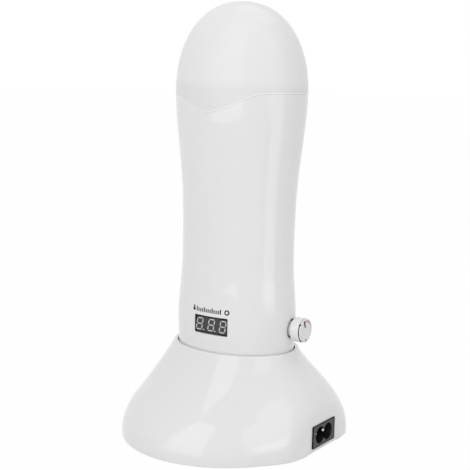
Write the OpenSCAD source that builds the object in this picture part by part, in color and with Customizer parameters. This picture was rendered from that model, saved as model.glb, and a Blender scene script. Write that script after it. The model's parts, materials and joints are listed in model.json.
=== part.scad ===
// Roll-on wax heater: an oval handle with a heated cartridge well, standing in a flared base.
// Origin: middle of the base on the standing plane. +Z up, -Y the display side, +X the knob side.

/* [Base] */
// Half width of the base at its foot, side to side
foot_a = 62.3; // [60:0.1:70]
// Half depth of the base at its foot, front to back
foot_b = 69.7; // [62:0.1:80]
// Height of the base's rim above the standing plane
rim_z = 52; // [50:0.5:58]
// Width of the rim around the socket
rim_w = 1.8; // [1.4:0.1:3]
// Wall of the base shell, measured level
base_wall = 2.6; // [2:0.1:3.4]
// Gap between the shell's lower edge and the standing plane
base_lift = 0.4; // [0.2:0.1:1.5]
// Distance of the flat inlet face from the middle
facet_x = 58.6; // [57:0.1:60]
// Half width of the raised field around the inlet
boss_half_w = 30.5; // [28:0.5:36]
// Height of the raised field around the inlet
boss_top = 34.5; // [30:0.5:38]
// Thickness of the bottom plate
plate_t = 2; // [1.5:0.1:3]
// Radius of a rubber foot
pad_r = 6.5; // [4:0.5:8]

/* [Handle] */
// Overall height of the heater, lid on
total_h = 245; // [237:1:265]
// Side-to-side size of the oval over its front-to-back size
oval = 1.3; // [1.25:0.01:1.35]
// Half width of the handle where it enters the base
seam_a = 35.4; // [35:0.1:37]
// Half width of the handle's lower swell
swell_a = 36; // [35.6:0.1:38]
// Half width of the waist
waist_a = 33.8; // [33.3:0.1:35.3]
// Half width at the widest place, near the lid's rim
wide_a = 39.3; // [38.5:0.1:42]
// Height of the widest place
wide_z = 195; // [190:0.5:196]
// Wall of the handle shell and the lid at their sides
body_wall = 2; // [1.6:0.1:2.4]
// Depth of the handle's foot in the base's socket
plug_depth = 13.7; // [10:0.1:15]
// Height of the joint between handle and lid at its highest place
split_z = 196; // [193:0.5:199]
// Depth of the dip in the joint at the front
scoop_depth = 9.3; // [5:0.1:12]
// Half width of the dip
scoop_half_w = 32.5; // [20:0.5:34]
// Height of the collar that holds the lid, above the joint
collar_rise = 6; // [4:0.5:10]

/* [Cartridge well] */
// Half width of the well
well_a = 25.5; // [23:0.1:26.5]
// Half depth of the well, front to back
well_b = 16.5; // [14:0.1:17]
// Depth of the well below its mouth
well_depth = 103.5; // [98:0.5:105]
// Wall of the heating sleeve
sleeve_wall = 1.5; // [1:0.1:2]
// Thickness of the heating wrap
wrap_t = 1.2; // [0.8:0.1:1.6]
// Height of the heating wrap
wrap_h = 70; // [50:1:76]

/* [Display and knob] */
// Width of the display window
window_w = 22; // [18:0.5:26]
// Height of the display window
window_h = 10.3; // [8:0.1:13]
// Height of the window's middle above the standing plane
window_z = 66.8; // [64:0.1:70]
// Depth of the display module behind its face
display_t = 6.4; // [5:0.1:7]
// Height of the knob's axis above the standing plane
knob_z = 64.9; // [63:0.1:68]
// Distance of the knob's axis behind the middle
knob_y = 2.4; // [0:0.1:4]
// Radius of the knob's neck, in the handle's wall
neck_r = 4.4; // [4.2:0.1:5]
// Radius of the knob's grip
grip_r = 6.9; // [6.4:0.1:8]
// Distance of the knob's face from the middle
face_x = 44.7; // [43.6:0.1:48]
// Radius of the control shaft
shaft_r = 3; // [2.5:0.1:3.5]

/* [Inlet] */
// Width of the inlet's flange
flange_w = 24.5; // [23:0.1:27]
// Height of the inlet's flange
flange_h = 12.6; // [12.2:0.1:14]
// Thickness of the inlet's flange
flange_t = 1.1; // [0.8:0.1:1.6]
// Height of the inlet's middle above the standing plane
inlet_z = 9.2; // [9:0.1:12]
// Distance between the two inlet pins
pin_pitch = 8.6; // [8:0.1:9]
// Radius of an inlet pin
pin_r = 1.2; // [1:0.05:1.4]

/* [Docking contacts] */
// Distance between the two docking contacts
dock_pitch = 18; // [16:0.5:22]
// Radius of a docking pin
tip_r = 1.6; // [1.2:0.1:2]
// Travel of a docking pin
tip_travel = 1.5; // [0.8:0.1:2]

/* [Fits] */
// Radial gap between the handle's foot and the base's socket
socket_gap = 0.5; // [0.4:0.1:0.8]
// Gap between pieces that rest on each other but come apart
rest_gap = 0.3; // [0.2:0.05:0.4]
// Gap between pieces that are fixed to each other
fit_gap = 0.1; // [0.05:0.01:0.2]
// Radial gap of a shaft in its bearing
run_gap = 0.05; // [0.02:0.01:0.1]

/* [Hidden] */

// Curve quality and overlap of cutting tools
round_fn = 64;
cut = 1;

// Base: the flank is slightly hollow from the rim to bend_z and rounds into the foot below it
heel_z = 3;
bend_z = 22;
bend_share = 0.735;
flank_hollow = 0.1;
skin_sides = 60;
boss_power = 2.4;
boss_blend = 0.47;
cut_half_w = 14;
cut_blend = 7;
socket_a = seam_a + socket_gap;
socket_b = seam_a / oval + socket_gap;
rim_a = socket_a + rim_w;
rim_b = socket_b + rim_w;
floor_z = rim_z - plug_depth - rest_gap;
floor_t = 2;
cup_wall = 1.8;
cavity_z = floor_z + 7;

// Bottom plate, its screws and the feet
plate_z = base_lift + 0.6;
plate_gap = 0.4;
pad_sink = 0.8;
pad_x = foot_a * 0.42;
pad_y = foot_b * 0.7;
post_x = socket_a * 0.75;
post_y = socket_b * 0.45;
post_r = 4;
screw_r = 1.5;
screw_head_r = 2.8;
screw_head_h = 1.2;
post_screw_l = 10;

// Inlet
inlet_body_w = flange_w - 4.4;
inlet_body_h = flange_h - 1.8;
inlet_body_l = 14;
inlet_front = facet_x + flange_t;
cavity_r = 4.8;
cavity_l = 12;
cavity_waist = 5.4;
pin_recess = 2.5;
pin_shoulder = 0.3;
tab_l = 4;
tab_r = 0.9;
pin_foot_x = facet_x - inlet_body_l;

// Docking contacts
tip_top = floor_z + rest_gap + 1;
carrier_top = floor_z - floor_t;
carrier_h = 11;
carrier_z = carrier_top - carrier_h;
carrier_l = dock_pitch + 18;
carrier_d = 16;
carrier_lid = 3;
carrier_floor = 1.5;
pin_collar_r = tip_r + 1;
pin_collar_h = 1.6;
pin_collar_z = carrier_top - carrier_lid - rest_gap - pin_collar_h;
stem_r = 0.9;
spring_wire = 0.3;
spring_r = 1.8;
spring_turns = 4;
lug_y = 5.5;
lug_t = 0.6;

// Handle
bulge_z = rim_z + 14;
waist_z = rim_z + 52;
flank_power = 1.55;
joint_slant = 5;
joint_turn = -26;
scoop_x = -1.4;
dome_power = 2.17;
plug_z = rim_z - plug_depth;
cap_t = 2;
shell_z = plug_z + cap_t;
spigot_h = 4;
spigot_t = 2;
plate_floor = 1.2;
contact_r = 3;
contact_plate_r = 4;
contact_plate_t = 0.6;

// Cartridge well, from its mouth down
deck_t = 2.5;
seal_t = 1.5;
deck_z = split_z - deck_t;
sleeve_top = deck_z - seal_t;
well_floor = deck_z - well_depth + seal_t;
sleeve_z = well_floor - sleeve_wall;
sleeve_a = well_a + sleeve_wall;
sleeve_b = well_b + sleeve_wall;
wrap_z = sleeve_z + 12;
collar_foot = 12;
collar_t = 1.6;
mouth_gap = 0.8;

// Chassis under the well
chassis_t = 3;
chassis_top = sleeve_z;
chassis_gap = 0.7;
chassis_post_x = 15;
chassis_post_y = 16;
chassis_post_r = 3.5;
wall_t = 2;
bracket_x = 27;
bracket_w = 18;

// Display and its board
body_front = body_a(window_z) / oval;
display_y = -(body_front - 1.8);
board_t = 1.6;
board_y = display_y + display_t;
board_w = 40;
board_z0 = plug_z + 10;
board_z1 = chassis_top - chassis_t - 2;
standoff_l = 5;
standoff_x = 15;
standoff_z = board_z1 - 6;
frame_y = board_y + board_t + standoff_l;
lead_r = 0.8;

// Control shaft and knob
pot_r = 8;
pot_l = 8;
bush_r = shaft_r + 0.6;
bush_l = 4.5;
nut_t = 1.5;
knob_hole_r = neck_r + 1.2;
knob_back_x = bracket_x + wall_t + nut_t + 2;
grip_l = face_x - swell_a - 1;
flare_l = 2;
flare_steps = 6;
groove_l = 0.5;
groove_depth = 0.8;
rim_l = 0.8;
rim_edge = 0.3;
rim_r = grip_r - 0.3;
disc_r = rim_r - 0.6;
disc_t = 0.4;
pointer_w = 0.9;
pointer_l = 4.2;
pointer_out = 6.35;
pointer_t = 0.2;
pointer_angle = 24;

function mix(a, b, t) = a + (b - a) * t;
// Level at both ends, from 0 to 1
function ease(t) = (1 - cos(180 * min(1, max(0, t)))) / 2;

function reversed(list) = [for (i = [len(list) - 1:-1:0]) list[i]];

// Half width of the handle and lid at height z
function body_a(z) =
    z < bulge_z ? mix(seam_a, swell_a, ease((z - rim_z) / (bulge_z - rim_z)))
    : z < waist_z ? mix(swell_a, waist_a, ease((z - bulge_z) / (waist_z - bulge_z)))
    : z < wide_z ? mix(waist_a, wide_a, ease(pow((z - waist_z) / (wide_z - waist_z), flank_power)))
    : wide_a * pow(1 - pow((z - wide_z) / (total_h - wide_z), dome_power), 1 / dome_power);

// Height of the joint between handle and lid at angle t: highest at joint_turn, slanting down to the
// opposite place, with a dip at the front
function joint_z(t) = split_z - joint_slant * (1 - cos(t - joint_turn)) / 2
    - (sin(t) < 0 ? scoop_depth * (1 - ease(abs(wide_a * cos(t) - scoop_x) / scoop_half_w)) : 0);

// Point of the handle's skin at height z and angle t, moved in by inset
function handle_point(z, t, inset) =
    [(body_a(z) - inset) * cos(t), (body_a(z) / oval - inset) * sin(t), z];

// Point of the lid's skin at height z and angle t, moved in by inset at the sides and the top
function lid_point(z, t, inset) =
    let (k = z < wide_z ? body_a(z) / wide_a
        : pow(1 - pow((z - wide_z) / (total_h - wide_z - inset), dome_power), 1 / dome_power))
    [(wide_a - inset) * k * cos(t), (wide_a / oval - inset) * k * sin(t), z];

// Point of an oval with half sizes a and b at height z
function oval_point(a, b, z, t) = [a * cos(t), b * sin(t), z];

// How far the base has flared from its rim (0) to its foot (1) at height z
function flare(z) =
    z > bend_z ? let (u = (rim_z - z) / (rim_z - bend_z)) bend_share * u - flank_hollow * u * (1 - u)
    : 1 - (1 - bend_share) * pow(max(0, z - heel_z) / (bend_z - heel_z), 2);

// Weight of the flat field around the inlet at a place on the skin
function boss_share(y, z) = ease((1 + boss_blend
    - pow(pow(abs(y) / boss_half_w, boss_power) + pow(z / boss_top, boss_power), 1 / boss_power))
    / (2 * boss_blend));

// Point of the base's skin at height z and angle t, moved in by inset. Around the inlet the skin is
// drawn out to the facet, and what would stand past the facet is cut flat as wide as the inlet.
function stand_point(z, t, inset) =
    let (x = (mix(rim_a, foot_a, flare(z)) - inset) * cos(t))
    let (y = (mix(rim_b, foot_b, flare(z)) - inset) * sin(t))
    let (facet = facet_x - inset)
    [x > facet ? mix(facet, x, ease((abs(y) - cut_half_w) / cut_blend))
        : x > 0 ? mix(x, facet, boss_share(y, z)) : x, y, z];

angles = [for (j = [0:skin_sides - 1]) 360 * j / skin_sides];

// Faces between rings of points, each ring seen anticlockwise from above. An open run of rings gets
// a face at each end, and a closed one joins its last ring to its first.
function ring_faces(rings, sides, closed) = concat(
    [for (i = [0:rings - (closed ? 1 : 2)], j = [0:sides - 1])
        let (k = (j + 1) % sides, n = (i + 1) % rings)
        [i * sides + j, n * sides + j, n * sides + k, i * sides + k]],
    closed ? [] : [[for (j = [0:sides - 1]) j], [for (j = [sides - 1:-1:0]) (rings - 1) * sides + j]]);

module skin(rings, closed) {
    polyhedron(points = [for (ring = rings, p = ring) p],
        faces = ring_faces(len(rings), len(rings[0]), closed), convexity = 6);
}

// Upright oval cylinder with half sizes a and b, in two halves that meet on the X axis
module oval_cylinder(a, b, h) {
    for (turn = [0, 180])
        scale([1, b / a, 1])
            rotate([0, 0, turn])
                rotate_extrude(angle = 180, $fn = round_fn)
                    square([a, h]);
}

// Pan-head screw: head at z = 0, thread running up
module screw(length) {
    cylinder(r = screw_head_r, h = screw_head_h, $fn = round_fn);
    cylinder(r = screw_r, h = screw_head_h + length, $fn = round_fn);
}

// Block that runs along X, centred across
module slot(l, w, h) {
    translate([0, -w / 2, -h / 2])
        cube([l, w, h]);
}

// Places mirrored about the middle
module both_x(x) {
    for (s = [-1, 1]) translate([s * x, 0, 0]) children();
}
module four(x, y) {
    for (i = [-1, 1], j = [-1, 1]) translate([i * x, j * y, 0]) children();
}

function unit(v) = v / norm(v);
function smooth_path(p) = [for (i = [0:len(p) - 2], k = [0:3]) let (t = k / 4)
    let (a = p[max(0, i - 1)], b = p[i], c = p[i + 1], d = p[min(len(p) - 1, i + 2)])
    0.5 * (2 * b + t * (c - a) + t * t * (2 * a - 5 * b + 4 * c - d) + t * t * t * (3 * b - a - 3 * c + d)),
    p[len(p) - 1]];

// Round wire along a path; side_dir is a direction that the path never runs along
module wire(path, r, side_dir) {
    n = len(path);
    sides = 8;
    points = [for (i = [0:n - 1]) let (t = unit(path[min(n - 1, i + 1)] - path[max(0, i - 1)]))
        let (u = unit(cross(t, side_dir)))
        let (v = cross(t, u))
        for (j = [0:sides - 1]) path[i] + r * (cos(360 * j / sides) * u + sin(360 * j / sides) * v)];
    polyhedron(points = points, faces = ring_faces(n, sides, false), convexity = 6);
}

// Base: flared shell with the handle's socket, screw posts and inlet face
module base_shell() {
    skin_z = [heel_z, 6, 9, 12, 15, 18.5, bend_z, 25, 28, 32, 36, 41];
    cup_z = floor_z - floor_t;
    cup = [for (z = [cup_z, cavity_z])
        [for (t = angles) oval_point(socket_a + cup_wall, socket_b + cup_wall, z, t)]];
    inner = [for (z = concat([cavity_z], reversed(skin_z), [base_lift]))
        [for (t = angles) stand_point(z, t, base_wall)]];
    outer = [for (z = concat([base_lift], skin_z, [rim_z])) [for (t = angles) stand_point(z, t, 0)]];
    socket = [for (z = [rim_z, floor_z]) [for (t = angles) oval_point(socket_a, socket_b, z, t)]];
    color("white")
    difference() {
        union() {
            skin(concat(cup, inner, outer, socket), false);
            four(post_x, post_y)
                translate([0, 0, plate_z + plate_t])
                    cylinder(r = post_r, h = cup_z + cut - plate_z - plate_t, $fn = round_fn);
        }
        both_x(dock_pitch / 2)
            translate([0, 0, cup_z - cut])
                cylinder(r = tip_r + rest_gap, h = floor_t + 2 * cut, $fn = round_fn);
        four(post_x, post_y)
            translate([0, 0, plate_z])
                cylinder(r = screw_r + fit_gap, h = plate_t + post_screw_l, $fn = round_fn);
        both_x(carrier_l / 2 - 4)
            translate([0, 0, cup_z - cut])
                cylinder(r = screw_r + fit_gap, h = cut + 1, $fn = round_fn);
        translate([facet_x - 2 * base_wall, 0, inlet_z])
            slot(3 * base_wall, inlet_body_w + 2 * fit_gap, inlet_body_h + 2 * fit_gap);
    }
}

// Bottom plate: closes the base from below and carries the feet
module bottom_plate() {
    color("gainsboro")
    difference() {
        translate([0, 0, plate_z])
            oval_cylinder(foot_a - base_wall - plate_gap, foot_b - base_wall - plate_gap, plate_t);
        translate([facet_x - base_wall - plate_gap, -foot_b, 0])
            cube([foot_a, 2 * foot_b, foot_a]);
        translate([pin_foot_x - tab_l - plate_gap, 0, inlet_z])
            slot(foot_a, inlet_body_w + 2 * plate_gap, inlet_body_h + 2 * plate_gap);
        four(pad_x, pad_y)
            translate([0, 0, plate_z - cut])
                cylinder(r = pad_r, h = cut + pad_sink, $fn = round_fn);
        four(post_x, post_y) {
            translate([0, 0, plate_z - cut])
                cylinder(r = screw_r + fit_gap, h = plate_t + 2 * cut, $fn = round_fn);
            translate([0, 0, plate_z - cut])
                cylinder(r = screw_head_r + fit_gap, h = cut + screw_head_h, $fn = round_fn);
        }
    }
}

// Rubber feet: four pads that the heater stands on
module rubber_feet() {
    color("dimgray")
    four(pad_x, pad_y)
        cylinder(r = pad_r - fit_gap, h = plate_z + pad_sink, $fn = round_fn);
}

// Screws that hold the bottom plate to the shell's posts
module bottom_screws() {
    color("silver")
    four(post_x, post_y)
        translate([0, 0, plate_z])
            screw(post_screw_l - 3);
}

// Inlet housing: flanged two-pin appliance inlet with a figure-eight cavity
module inlet_housing() {
    color("black")
    difference() {
        union() {
            translate([facet_x, 0, inlet_z])
                slot(flange_t, flange_w, flange_h);
            translate([pin_foot_x, 0, inlet_z])
                slot(inlet_body_l, inlet_body_w, inlet_body_h);
        }
        for (s = [-1, 1])
            translate([inlet_front - cavity_l, s * pin_pitch / 2, inlet_z])
                rotate([0, 90, 0]) {
                    cylinder(r = cavity_r, h = cavity_l + cut, $fn = round_fn);
                    translate([0, 0, -inlet_body_l])
                        cylinder(r = tab_r, h = 2 * inlet_body_l, $fn = round_fn);
                }
        translate([inlet_front - cavity_l, 0, inlet_z])
            slot(cavity_l + cut, pin_pitch, cavity_waist);
    }
}

// Inlet pins: two round pins with thinner solder tails through the housing's back wall
module inlet_pins() {
    cavity_floor = inlet_front - cavity_l;
    color("silver")
    for (s = [-1, 1])
        translate([0, s * pin_pitch / 2, inlet_z])
            rotate([0, 90, 0]) {
                translate([0, 0, cavity_floor + pin_shoulder])
                    cylinder(r = pin_r, h = cavity_l - pin_recess - pin_shoulder, $fn = round_fn);
                translate([0, 0, pin_foot_x - tab_l])
                    cylinder(r = tab_r, h = cavity_floor + cut - pin_foot_x + tab_l, $fn = round_fn);
            }
}

// Contact carrier: block under the socket floor that guides both docking pins
module contact_carrier() {
    color("dimgray")
    difference() {
        translate([-carrier_l / 2, -carrier_d / 2, carrier_z])
            cube([carrier_l, carrier_d, carrier_h]);
        both_x(dock_pitch / 2) {
            translate([0, 0, carrier_z - cut])
                cylinder(r = stem_r + run_gap, h = carrier_h, $fn = round_fn);
            translate([0, 0, carrier_z + carrier_floor])
                cylinder(r = pin_collar_r + rest_gap, h = carrier_h - carrier_floor - carrier_lid,
                    $fn = round_fn);
            translate([0, 0, carrier_top - carrier_lid - cut])
                cylinder(r = tip_r + run_gap, h = carrier_lid + 2 * cut, $fn = round_fn);
        }
        both_x(carrier_l / 2 - 4)
            translate([0, 0, carrier_z - cut])
                cylinder(r = screw_r + fit_gap, h = carrier_h + 2 * cut, $fn = round_fn);
    }
}

// Screws that hold the contact carrier under the socket floor
module carrier_screws() {
    color("silver")
    both_x(carrier_l / 2 - 4)
        translate([0, 0, carrier_z - screw_head_h])
            screw(carrier_h + 0.8);
}

// Terminals: brass lugs under the carrier, one beside each pin
module carrier_terminals() {
    color("goldenrod")
    both_x(dock_pitch / 2)
        translate([-2, lug_y - 3, carrier_z - lug_t])
            cube([4, 5, lug_t]);
}

// Leads from the inlet's tails to the carrier's terminals
module base_leads() {
    start_x = pin_foot_x - tab_l - rest_gap;
    lug_z = carrier_z - lug_t - lead_r - fit_gap;
    color("firebrick") {
        wire(smooth_path([[start_x, pin_pitch / 2, inlet_z], [34, 5, 11], [24, 6, 16], [17, lug_y, lug_z - 1.5],
            [dock_pitch / 2, lug_y, lug_z]]), lead_r, [0, 1, 0]);
        wire(smooth_path([[start_x, -pin_pitch / 2, inlet_z], [32, -5, 9], [18, -4, 10], [4, 0, 13],
            [-4, 4, 18], [1 - dock_pitch / 2, lug_y, lug_z]]), lead_r, [0, 1, 0.5]);
    }
}

// Spring under one docking pin
module contact_spring(x) {
    z0 = carrier_z + carrier_floor + spring_wire + fit_gap;
    z1 = pin_collar_z - spring_wire - fit_gap;
    steps = 12 * spring_turns;
    color("silver")
        translate([x, 0, 0])
            wire([for (i = [0:steps]) let (turn = 360 * spring_turns * i / steps)
                [spring_r * cos(turn), spring_r * sin(turn), mix(z0, z1, i / steps)]],
                spring_wire, [0, 0, 1]);
}

// One docking pin with its collar and stem
module contact_pin(x) {
    color("goldenrod")
    translate([x, 0, 0]) {
        translate([0, 0, carrier_z - 0.5])
            cylinder(r = stem_r, h = pin_collar_z - carrier_z + 1, $fn = round_fn);
        translate([0, 0, pin_collar_z])
            cylinder(r = pin_collar_r, h = pin_collar_h, $fn = round_fn);
        translate([0, 0, pin_collar_z])
            cylinder(r = tip_r, h = tip_top - pin_collar_z - tip_r / 2, $fn = round_fn);
        translate([0, 0, tip_top - tip_r / 2])
            cylinder(r1 = tip_r, r2 = tip_r / 2, h = tip_r / 2, $fn = round_fn);
    }
}

// Handle shell: one waisted oval tube with the window and the knob's hole
module body_shell() {
    steps = 14;
    outer = [for (i = [0:steps]) [for (t = angles) handle_point(mix(shell_z, joint_z(t), i / steps), t, 0)]];
    inner = [for (i = [steps:-1:0])
        [for (t = angles) handle_point(mix(shell_z, joint_z(t), i / steps), t, body_wall)]];
    color("white")
    difference() {
        skin(concat(outer, inner), true);
        translate([-window_w / 2, -wide_a, window_z - window_h / 2])
            cube([window_w, wide_a, window_h]);
        translate([0, knob_y, knob_z])
            rotate([0, 90, 0])
                cylinder(r = knob_hole_r, h = foot_a, $fn = round_fn);
    }
}

// Bottom cap: closes the handle's foot and holds the contact plates
module bottom_cap() {
    inner_a = seam_a - body_wall - 2 * fit_gap;
    inner_b = seam_a / oval - body_wall - 2 * fit_gap;
    color("white")
    difference() {
        union() {
            translate([0, 0, plug_z])
                oval_cylinder(seam_a, seam_a / oval, cap_t);
            translate([0, 0, plug_z])
                oval_cylinder(inner_a, inner_b, cap_t + spigot_h);
        }
        translate([0, 0, plug_z + cap_t])
            oval_cylinder(inner_a - spigot_t, inner_b - spigot_t, spigot_h + cut);
        both_x(dock_pitch / 2) {
            translate([0, 0, plug_z - cut])
                cylinder(r = contact_r, h = 2 * cap_t, $fn = round_fn);
            translate([0, 0, plug_z + plate_floor])
                cylinder(r = contact_plate_r + fit_gap, h = 2 * cap_t, $fn = round_fn);
        }
        both_x(chassis_post_x)
            translate([0, chassis_post_y, plug_z - cut]) {
                cylinder(r = screw_r + fit_gap, h = 2 * cap_t + cut, $fn = round_fn);
                cylinder(r = screw_head_r + fit_gap, h = screw_head_h + cut, $fn = round_fn);
            }
    }
}

// Screws that hold the bottom cap to the chassis
module cap_screws() {
    color("silver")
    both_x(chassis_post_x)
        translate([0, chassis_post_y, plug_z])
            screw(8);
}

// Contact plates: two discs in the cap that meet the docking pins
module contact_plates() {
    color("goldenrod")
    both_x(dock_pitch / 2)
        translate([0, 0, plug_z + plate_floor]) {
            cylinder(r = contact_plate_r, h = contact_plate_t, $fn = round_fn);
            cylinder(r = stem_r, h = 3, $fn = round_fn);
        }
}

// Chassis: inner frame that carries the sleeve, the board and the control
module chassis() {
    deck_a = body_a(chassis_top) - body_wall - chassis_gap;
    deck_low = chassis_top - chassis_t;
    color("whitesmoke")
    difference() {
        union() {
            translate([0, 0, deck_low])
                oval_cylinder(deck_a, deck_a / oval, chassis_t);
            both_x(chassis_post_x)
                translate([0, chassis_post_y, shell_z])
                    cylinder(r = chassis_post_r, h = deck_low - shell_z + cut, $fn = round_fn);
            translate([-board_w / 2 + 2, frame_y, board_z0 + 6])
                cube([board_w - 4, wall_t, deck_low - board_z0 - 6 + cut]);
            both_x(standoff_x)
                translate([0, frame_y + cut, standoff_z])
                    rotate([90, 0, 0])
                        cylinder(r = 2.5, h = standoff_l + cut, $fn = round_fn);
            translate([bracket_x, knob_y - bracket_w / 2, knob_z - bracket_w / 2])
                cube([wall_t, bracket_w, deck_low - knob_z + bracket_w / 2 + cut]);
        }
        both_x(chassis_post_x)
            translate([0, chassis_post_y, shell_z - cut])
                cylinder(r = screw_r + fit_gap, h = 10 + cut, $fn = round_fn);
        both_x(standoff_x)
            translate([0, frame_y + wall_t + cut, standoff_z])
                rotate([90, 0, 0])
                    cylinder(r = 1.1, h = standoff_l + wall_t + 2 * cut, $fn = round_fn);
        both_x(6)
            translate([0, board_y - 2, deck_low - cut])
                cylinder(r = lead_r + 0.7, h = chassis_t + 2 * cut, $fn = round_fn);
        translate([bracket_x - cut, knob_y, knob_z])
            rotate([0, 90, 0])
                cylinder(r = bush_r + fit_gap, h = wall_t + 2 * cut, $fn = round_fn);
    }
}

// Control board: upright circuit board behind the display
module control_board() {
    color("darkgreen")
    difference() {
        translate([-board_w / 2, board_y, board_z0])
            cube([board_w, board_t, board_z1 - board_z0]);
        both_x(standoff_x)
            translate([0, board_y + board_t + cut, standoff_z])
                rotate([90, 0, 0])
                    cylinder(r = 1.1, h = board_t + 2 * cut, $fn = round_fn);
    }
}

// Board parts: power regulator, capacitor and switching device on the board's back
module board_parts() {
    back_y = board_y + board_t;
    color("dimgray") {
        translate([-12, back_y, board_z0 + 8])
            cube([8, 3, 8]);
        translate([-1, back_y, board_z0 + 9])
            cube([5, 2.5, 6]);
        translate([10, back_y, board_z0 + 7])
            cube([7, 3.5, 5]);
    }
}

// Screws that hold the board to its standoffs
module board_screws() {
    color("silver")
    both_x(standoff_x)
        translate([0, board_y, standoff_z])
            rotate([-90, 0, 0]) {
                translate([0, 0, -1])
                    cylinder(r = 2, h = 1, $fn = round_fn);
                cylinder(r = 1, h = 6, $fn = round_fn);
            }
}

// Display module: three-digit block that looks out of the window
module display_module() {
    w = window_w - 4 * fit_gap;
    h = window_h - 4 * fit_gap;
    color("darkslategray")
    translate([-w / 2, display_y, window_z - h / 2])
        cube([w, display_t, h]);
}

// Potentiometer: round control body with a bush through the bracket
module potentiometer() {
    color("slategray")
    translate([bracket_x, knob_y, knob_z])
        rotate([0, 90, 0])
            difference() {
                union() {
                    translate([0, 0, -pot_l])
                        cylinder(r = pot_r, h = pot_l, $fn = round_fn);
                    cylinder(r = bush_r, h = bush_l, $fn = round_fn);
                }
                translate([0, 0, 2 - pot_l])
                    cylinder(r = shaft_r + run_gap, h = pot_l + bush_l, $fn = round_fn);
            }
}

// Nut that clamps the control to the bracket
module potentiometer_nut() {
    color("silver")
    translate([bracket_x + wall_t, knob_y, knob_z])
        rotate([0, 90, 0])
            difference() {
                cylinder(r = bush_r + 1.4, h = nut_t, $fn = 6);
                translate([0, 0, -cut])
                    cylinder(r = bush_r + run_gap, h = nut_t + 2 * cut, $fn = round_fn);
            }
}

// Leads from the contact plates to the board
module handle_leads() {
    stud_z = plug_z + plate_floor + 3;
    end_y = board_y + board_t + lead_r;
    color("firebrick")
    both_x(dock_pitch / 2)
        wire(smooth_path([[0, 0, stud_z + rest_gap], [0, -1, stud_z + 2.5], [0, -7, stud_z + 4],
            [0, end_y + 2, stud_z + 6], [0, end_y, board_z0 + 4]]), lead_r, [1, 0, 0]);
}

// Leads from the board up to the heating wrap
module heater_leads() {
    lead_y = board_y - 2;
    color("firebrick")
    both_x(6)
        wire(smooth_path([[0, board_y - lead_r - fit_gap, board_z1 - 4], [0, lead_y + 0.4, board_z1 - 1],
            [0, lead_y, board_z1 + 2], [0, lead_y, chassis_top + 4], [0, lead_y, wrap_z + 4]]),
            lead_r, [1, 0, 0]);
}

// Heating sleeve: aluminium oval cup that warms the wax cartridge
module heating_sleeve() {
    color("silver")
    difference() {
        translate([0, 0, sleeve_z])
            oval_cylinder(sleeve_a, sleeve_b, sleeve_top - sleeve_z);
        translate([0, 0, well_floor])
            oval_cylinder(well_a, well_b, well_depth);
    }
}

// Heating wrap: band heater around the sleeve
module heater_wrap() {
    color("peru")
    translate([0, 0, wrap_z])
        difference() {
            oval_cylinder(sleeve_a + fit_gap + wrap_t, sleeve_b + fit_gap + wrap_t, wrap_h);
            translate([0, 0, -cut])
                oval_cylinder(sleeve_a + fit_gap, sleeve_b + fit_gap, wrap_h + 2 * cut);
        }
}

// Thermal fuse: safety cut-out against the sleeve's back
module thermal_fuse() {
    fuse_r = 2;
    color("ivory")
    translate([0, sleeve_b + fit_gap + fuse_r, wrap_z + wrap_h + 3])
        cylinder(r = fuse_r, h = 11, $fn = round_fn);
}

// Temperature sensor: bead against the sleeve's front
module temperature_sensor() {
    bead_r = 1.5;
    color("gray")
    translate([0, -sleeve_b - fit_gap - bead_r, wrap_z + wrap_h + 4])
        cylinder(r = bead_r, h = 7, $fn = round_fn);
}

// Seal between the sleeve's mouth and the collar
module well_seal() {
    color("lightgray")
    translate([0, 0, sleeve_top])
        difference() {
            oval_cylinder(sleeve_a, sleeve_b, seal_t);
            translate([0, 0, -cut])
                oval_cylinder(well_a + mouth_gap, well_b + mouth_gap, seal_t + 2 * cut);
        }
}

// Neck collar: deck around the well's mouth with the wall that the lid slips over
module neck_collar() {
    top_z = split_z + collar_rise;
    foot_z = split_z - collar_foot;
    inset = body_wall + rest_gap;
    inner = inset + collar_t;
    mouth = [for (z = [split_z, deck_z])
        [for (t = angles) oval_point(well_a + mouth_gap, well_b + mouth_gap, z, t)]];
    color("white")
        skin(concat(
            [for (i = [0:5]) [for (t = angles) lid_point(mix(foot_z, top_z, i / 5), t, inset)]],
            [for (z = [top_z, split_z]) [for (t = angles) lid_point(z, t, inner)]],
            mouth,
            [for (z = [deck_z, foot_z]) [for (t = angles) lid_point(z, t, inner)]]), true);
}

// Knob: neck that flares into the grip, a groove behind the rim and a recess for the disc
module knob() {
    flare_x = face_x - grip_l;
    groove_x = face_x - rim_l - groove_l;
    color("white")
    translate([0, knob_y, knob_z])
        rotate([0, 90, 0])
            difference() {
                rotate_extrude($fn = round_fn)
                    polygon(concat([[0, knob_back_x], [neck_r, knob_back_x]],
                        [for (i = [0:flare_steps]) let (turn = 90 * i / flare_steps)
                            [mix(neck_r, grip_r, sin(turn)), flare_x + flare_l * (1 - cos(turn))]],
                        [[grip_r, groove_x], [rim_r - groove_depth, groove_x],
                        [rim_r - groove_depth, face_x - rim_l], [rim_r, face_x - rim_l],
                        [rim_r, face_x - rim_edge], [rim_r - rim_edge, face_x], [0, face_x]]));
                translate([0, 0, face_x - disc_t])
                    cylinder(r = disc_r + fit_gap, h = 2 * disc_t, $fn = round_fn);
                cylinder(r = shaft_r + run_gap, h = face_x - 2, $fn = round_fn);
            }
}

// Control shaft: runs from the potentiometer into the knob
module knob_shaft() {
    color("silver")
    translate([bracket_x - pot_l + 2.5, knob_y, knob_z])
        rotate([0, 90, 0])
            cylinder(r = shaft_r, h = face_x - 2.5 - bracket_x + pot_l - 2.5, $fn = round_fn);
}

// Disc set into the knob's face
module knob_disc() {
    color("darkgray")
    translate([face_x - disc_t, knob_y, knob_z])
        rotate([0, 90, 0])
            cylinder(r = disc_r, h = disc_t, $fn = round_fn);
}

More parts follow.
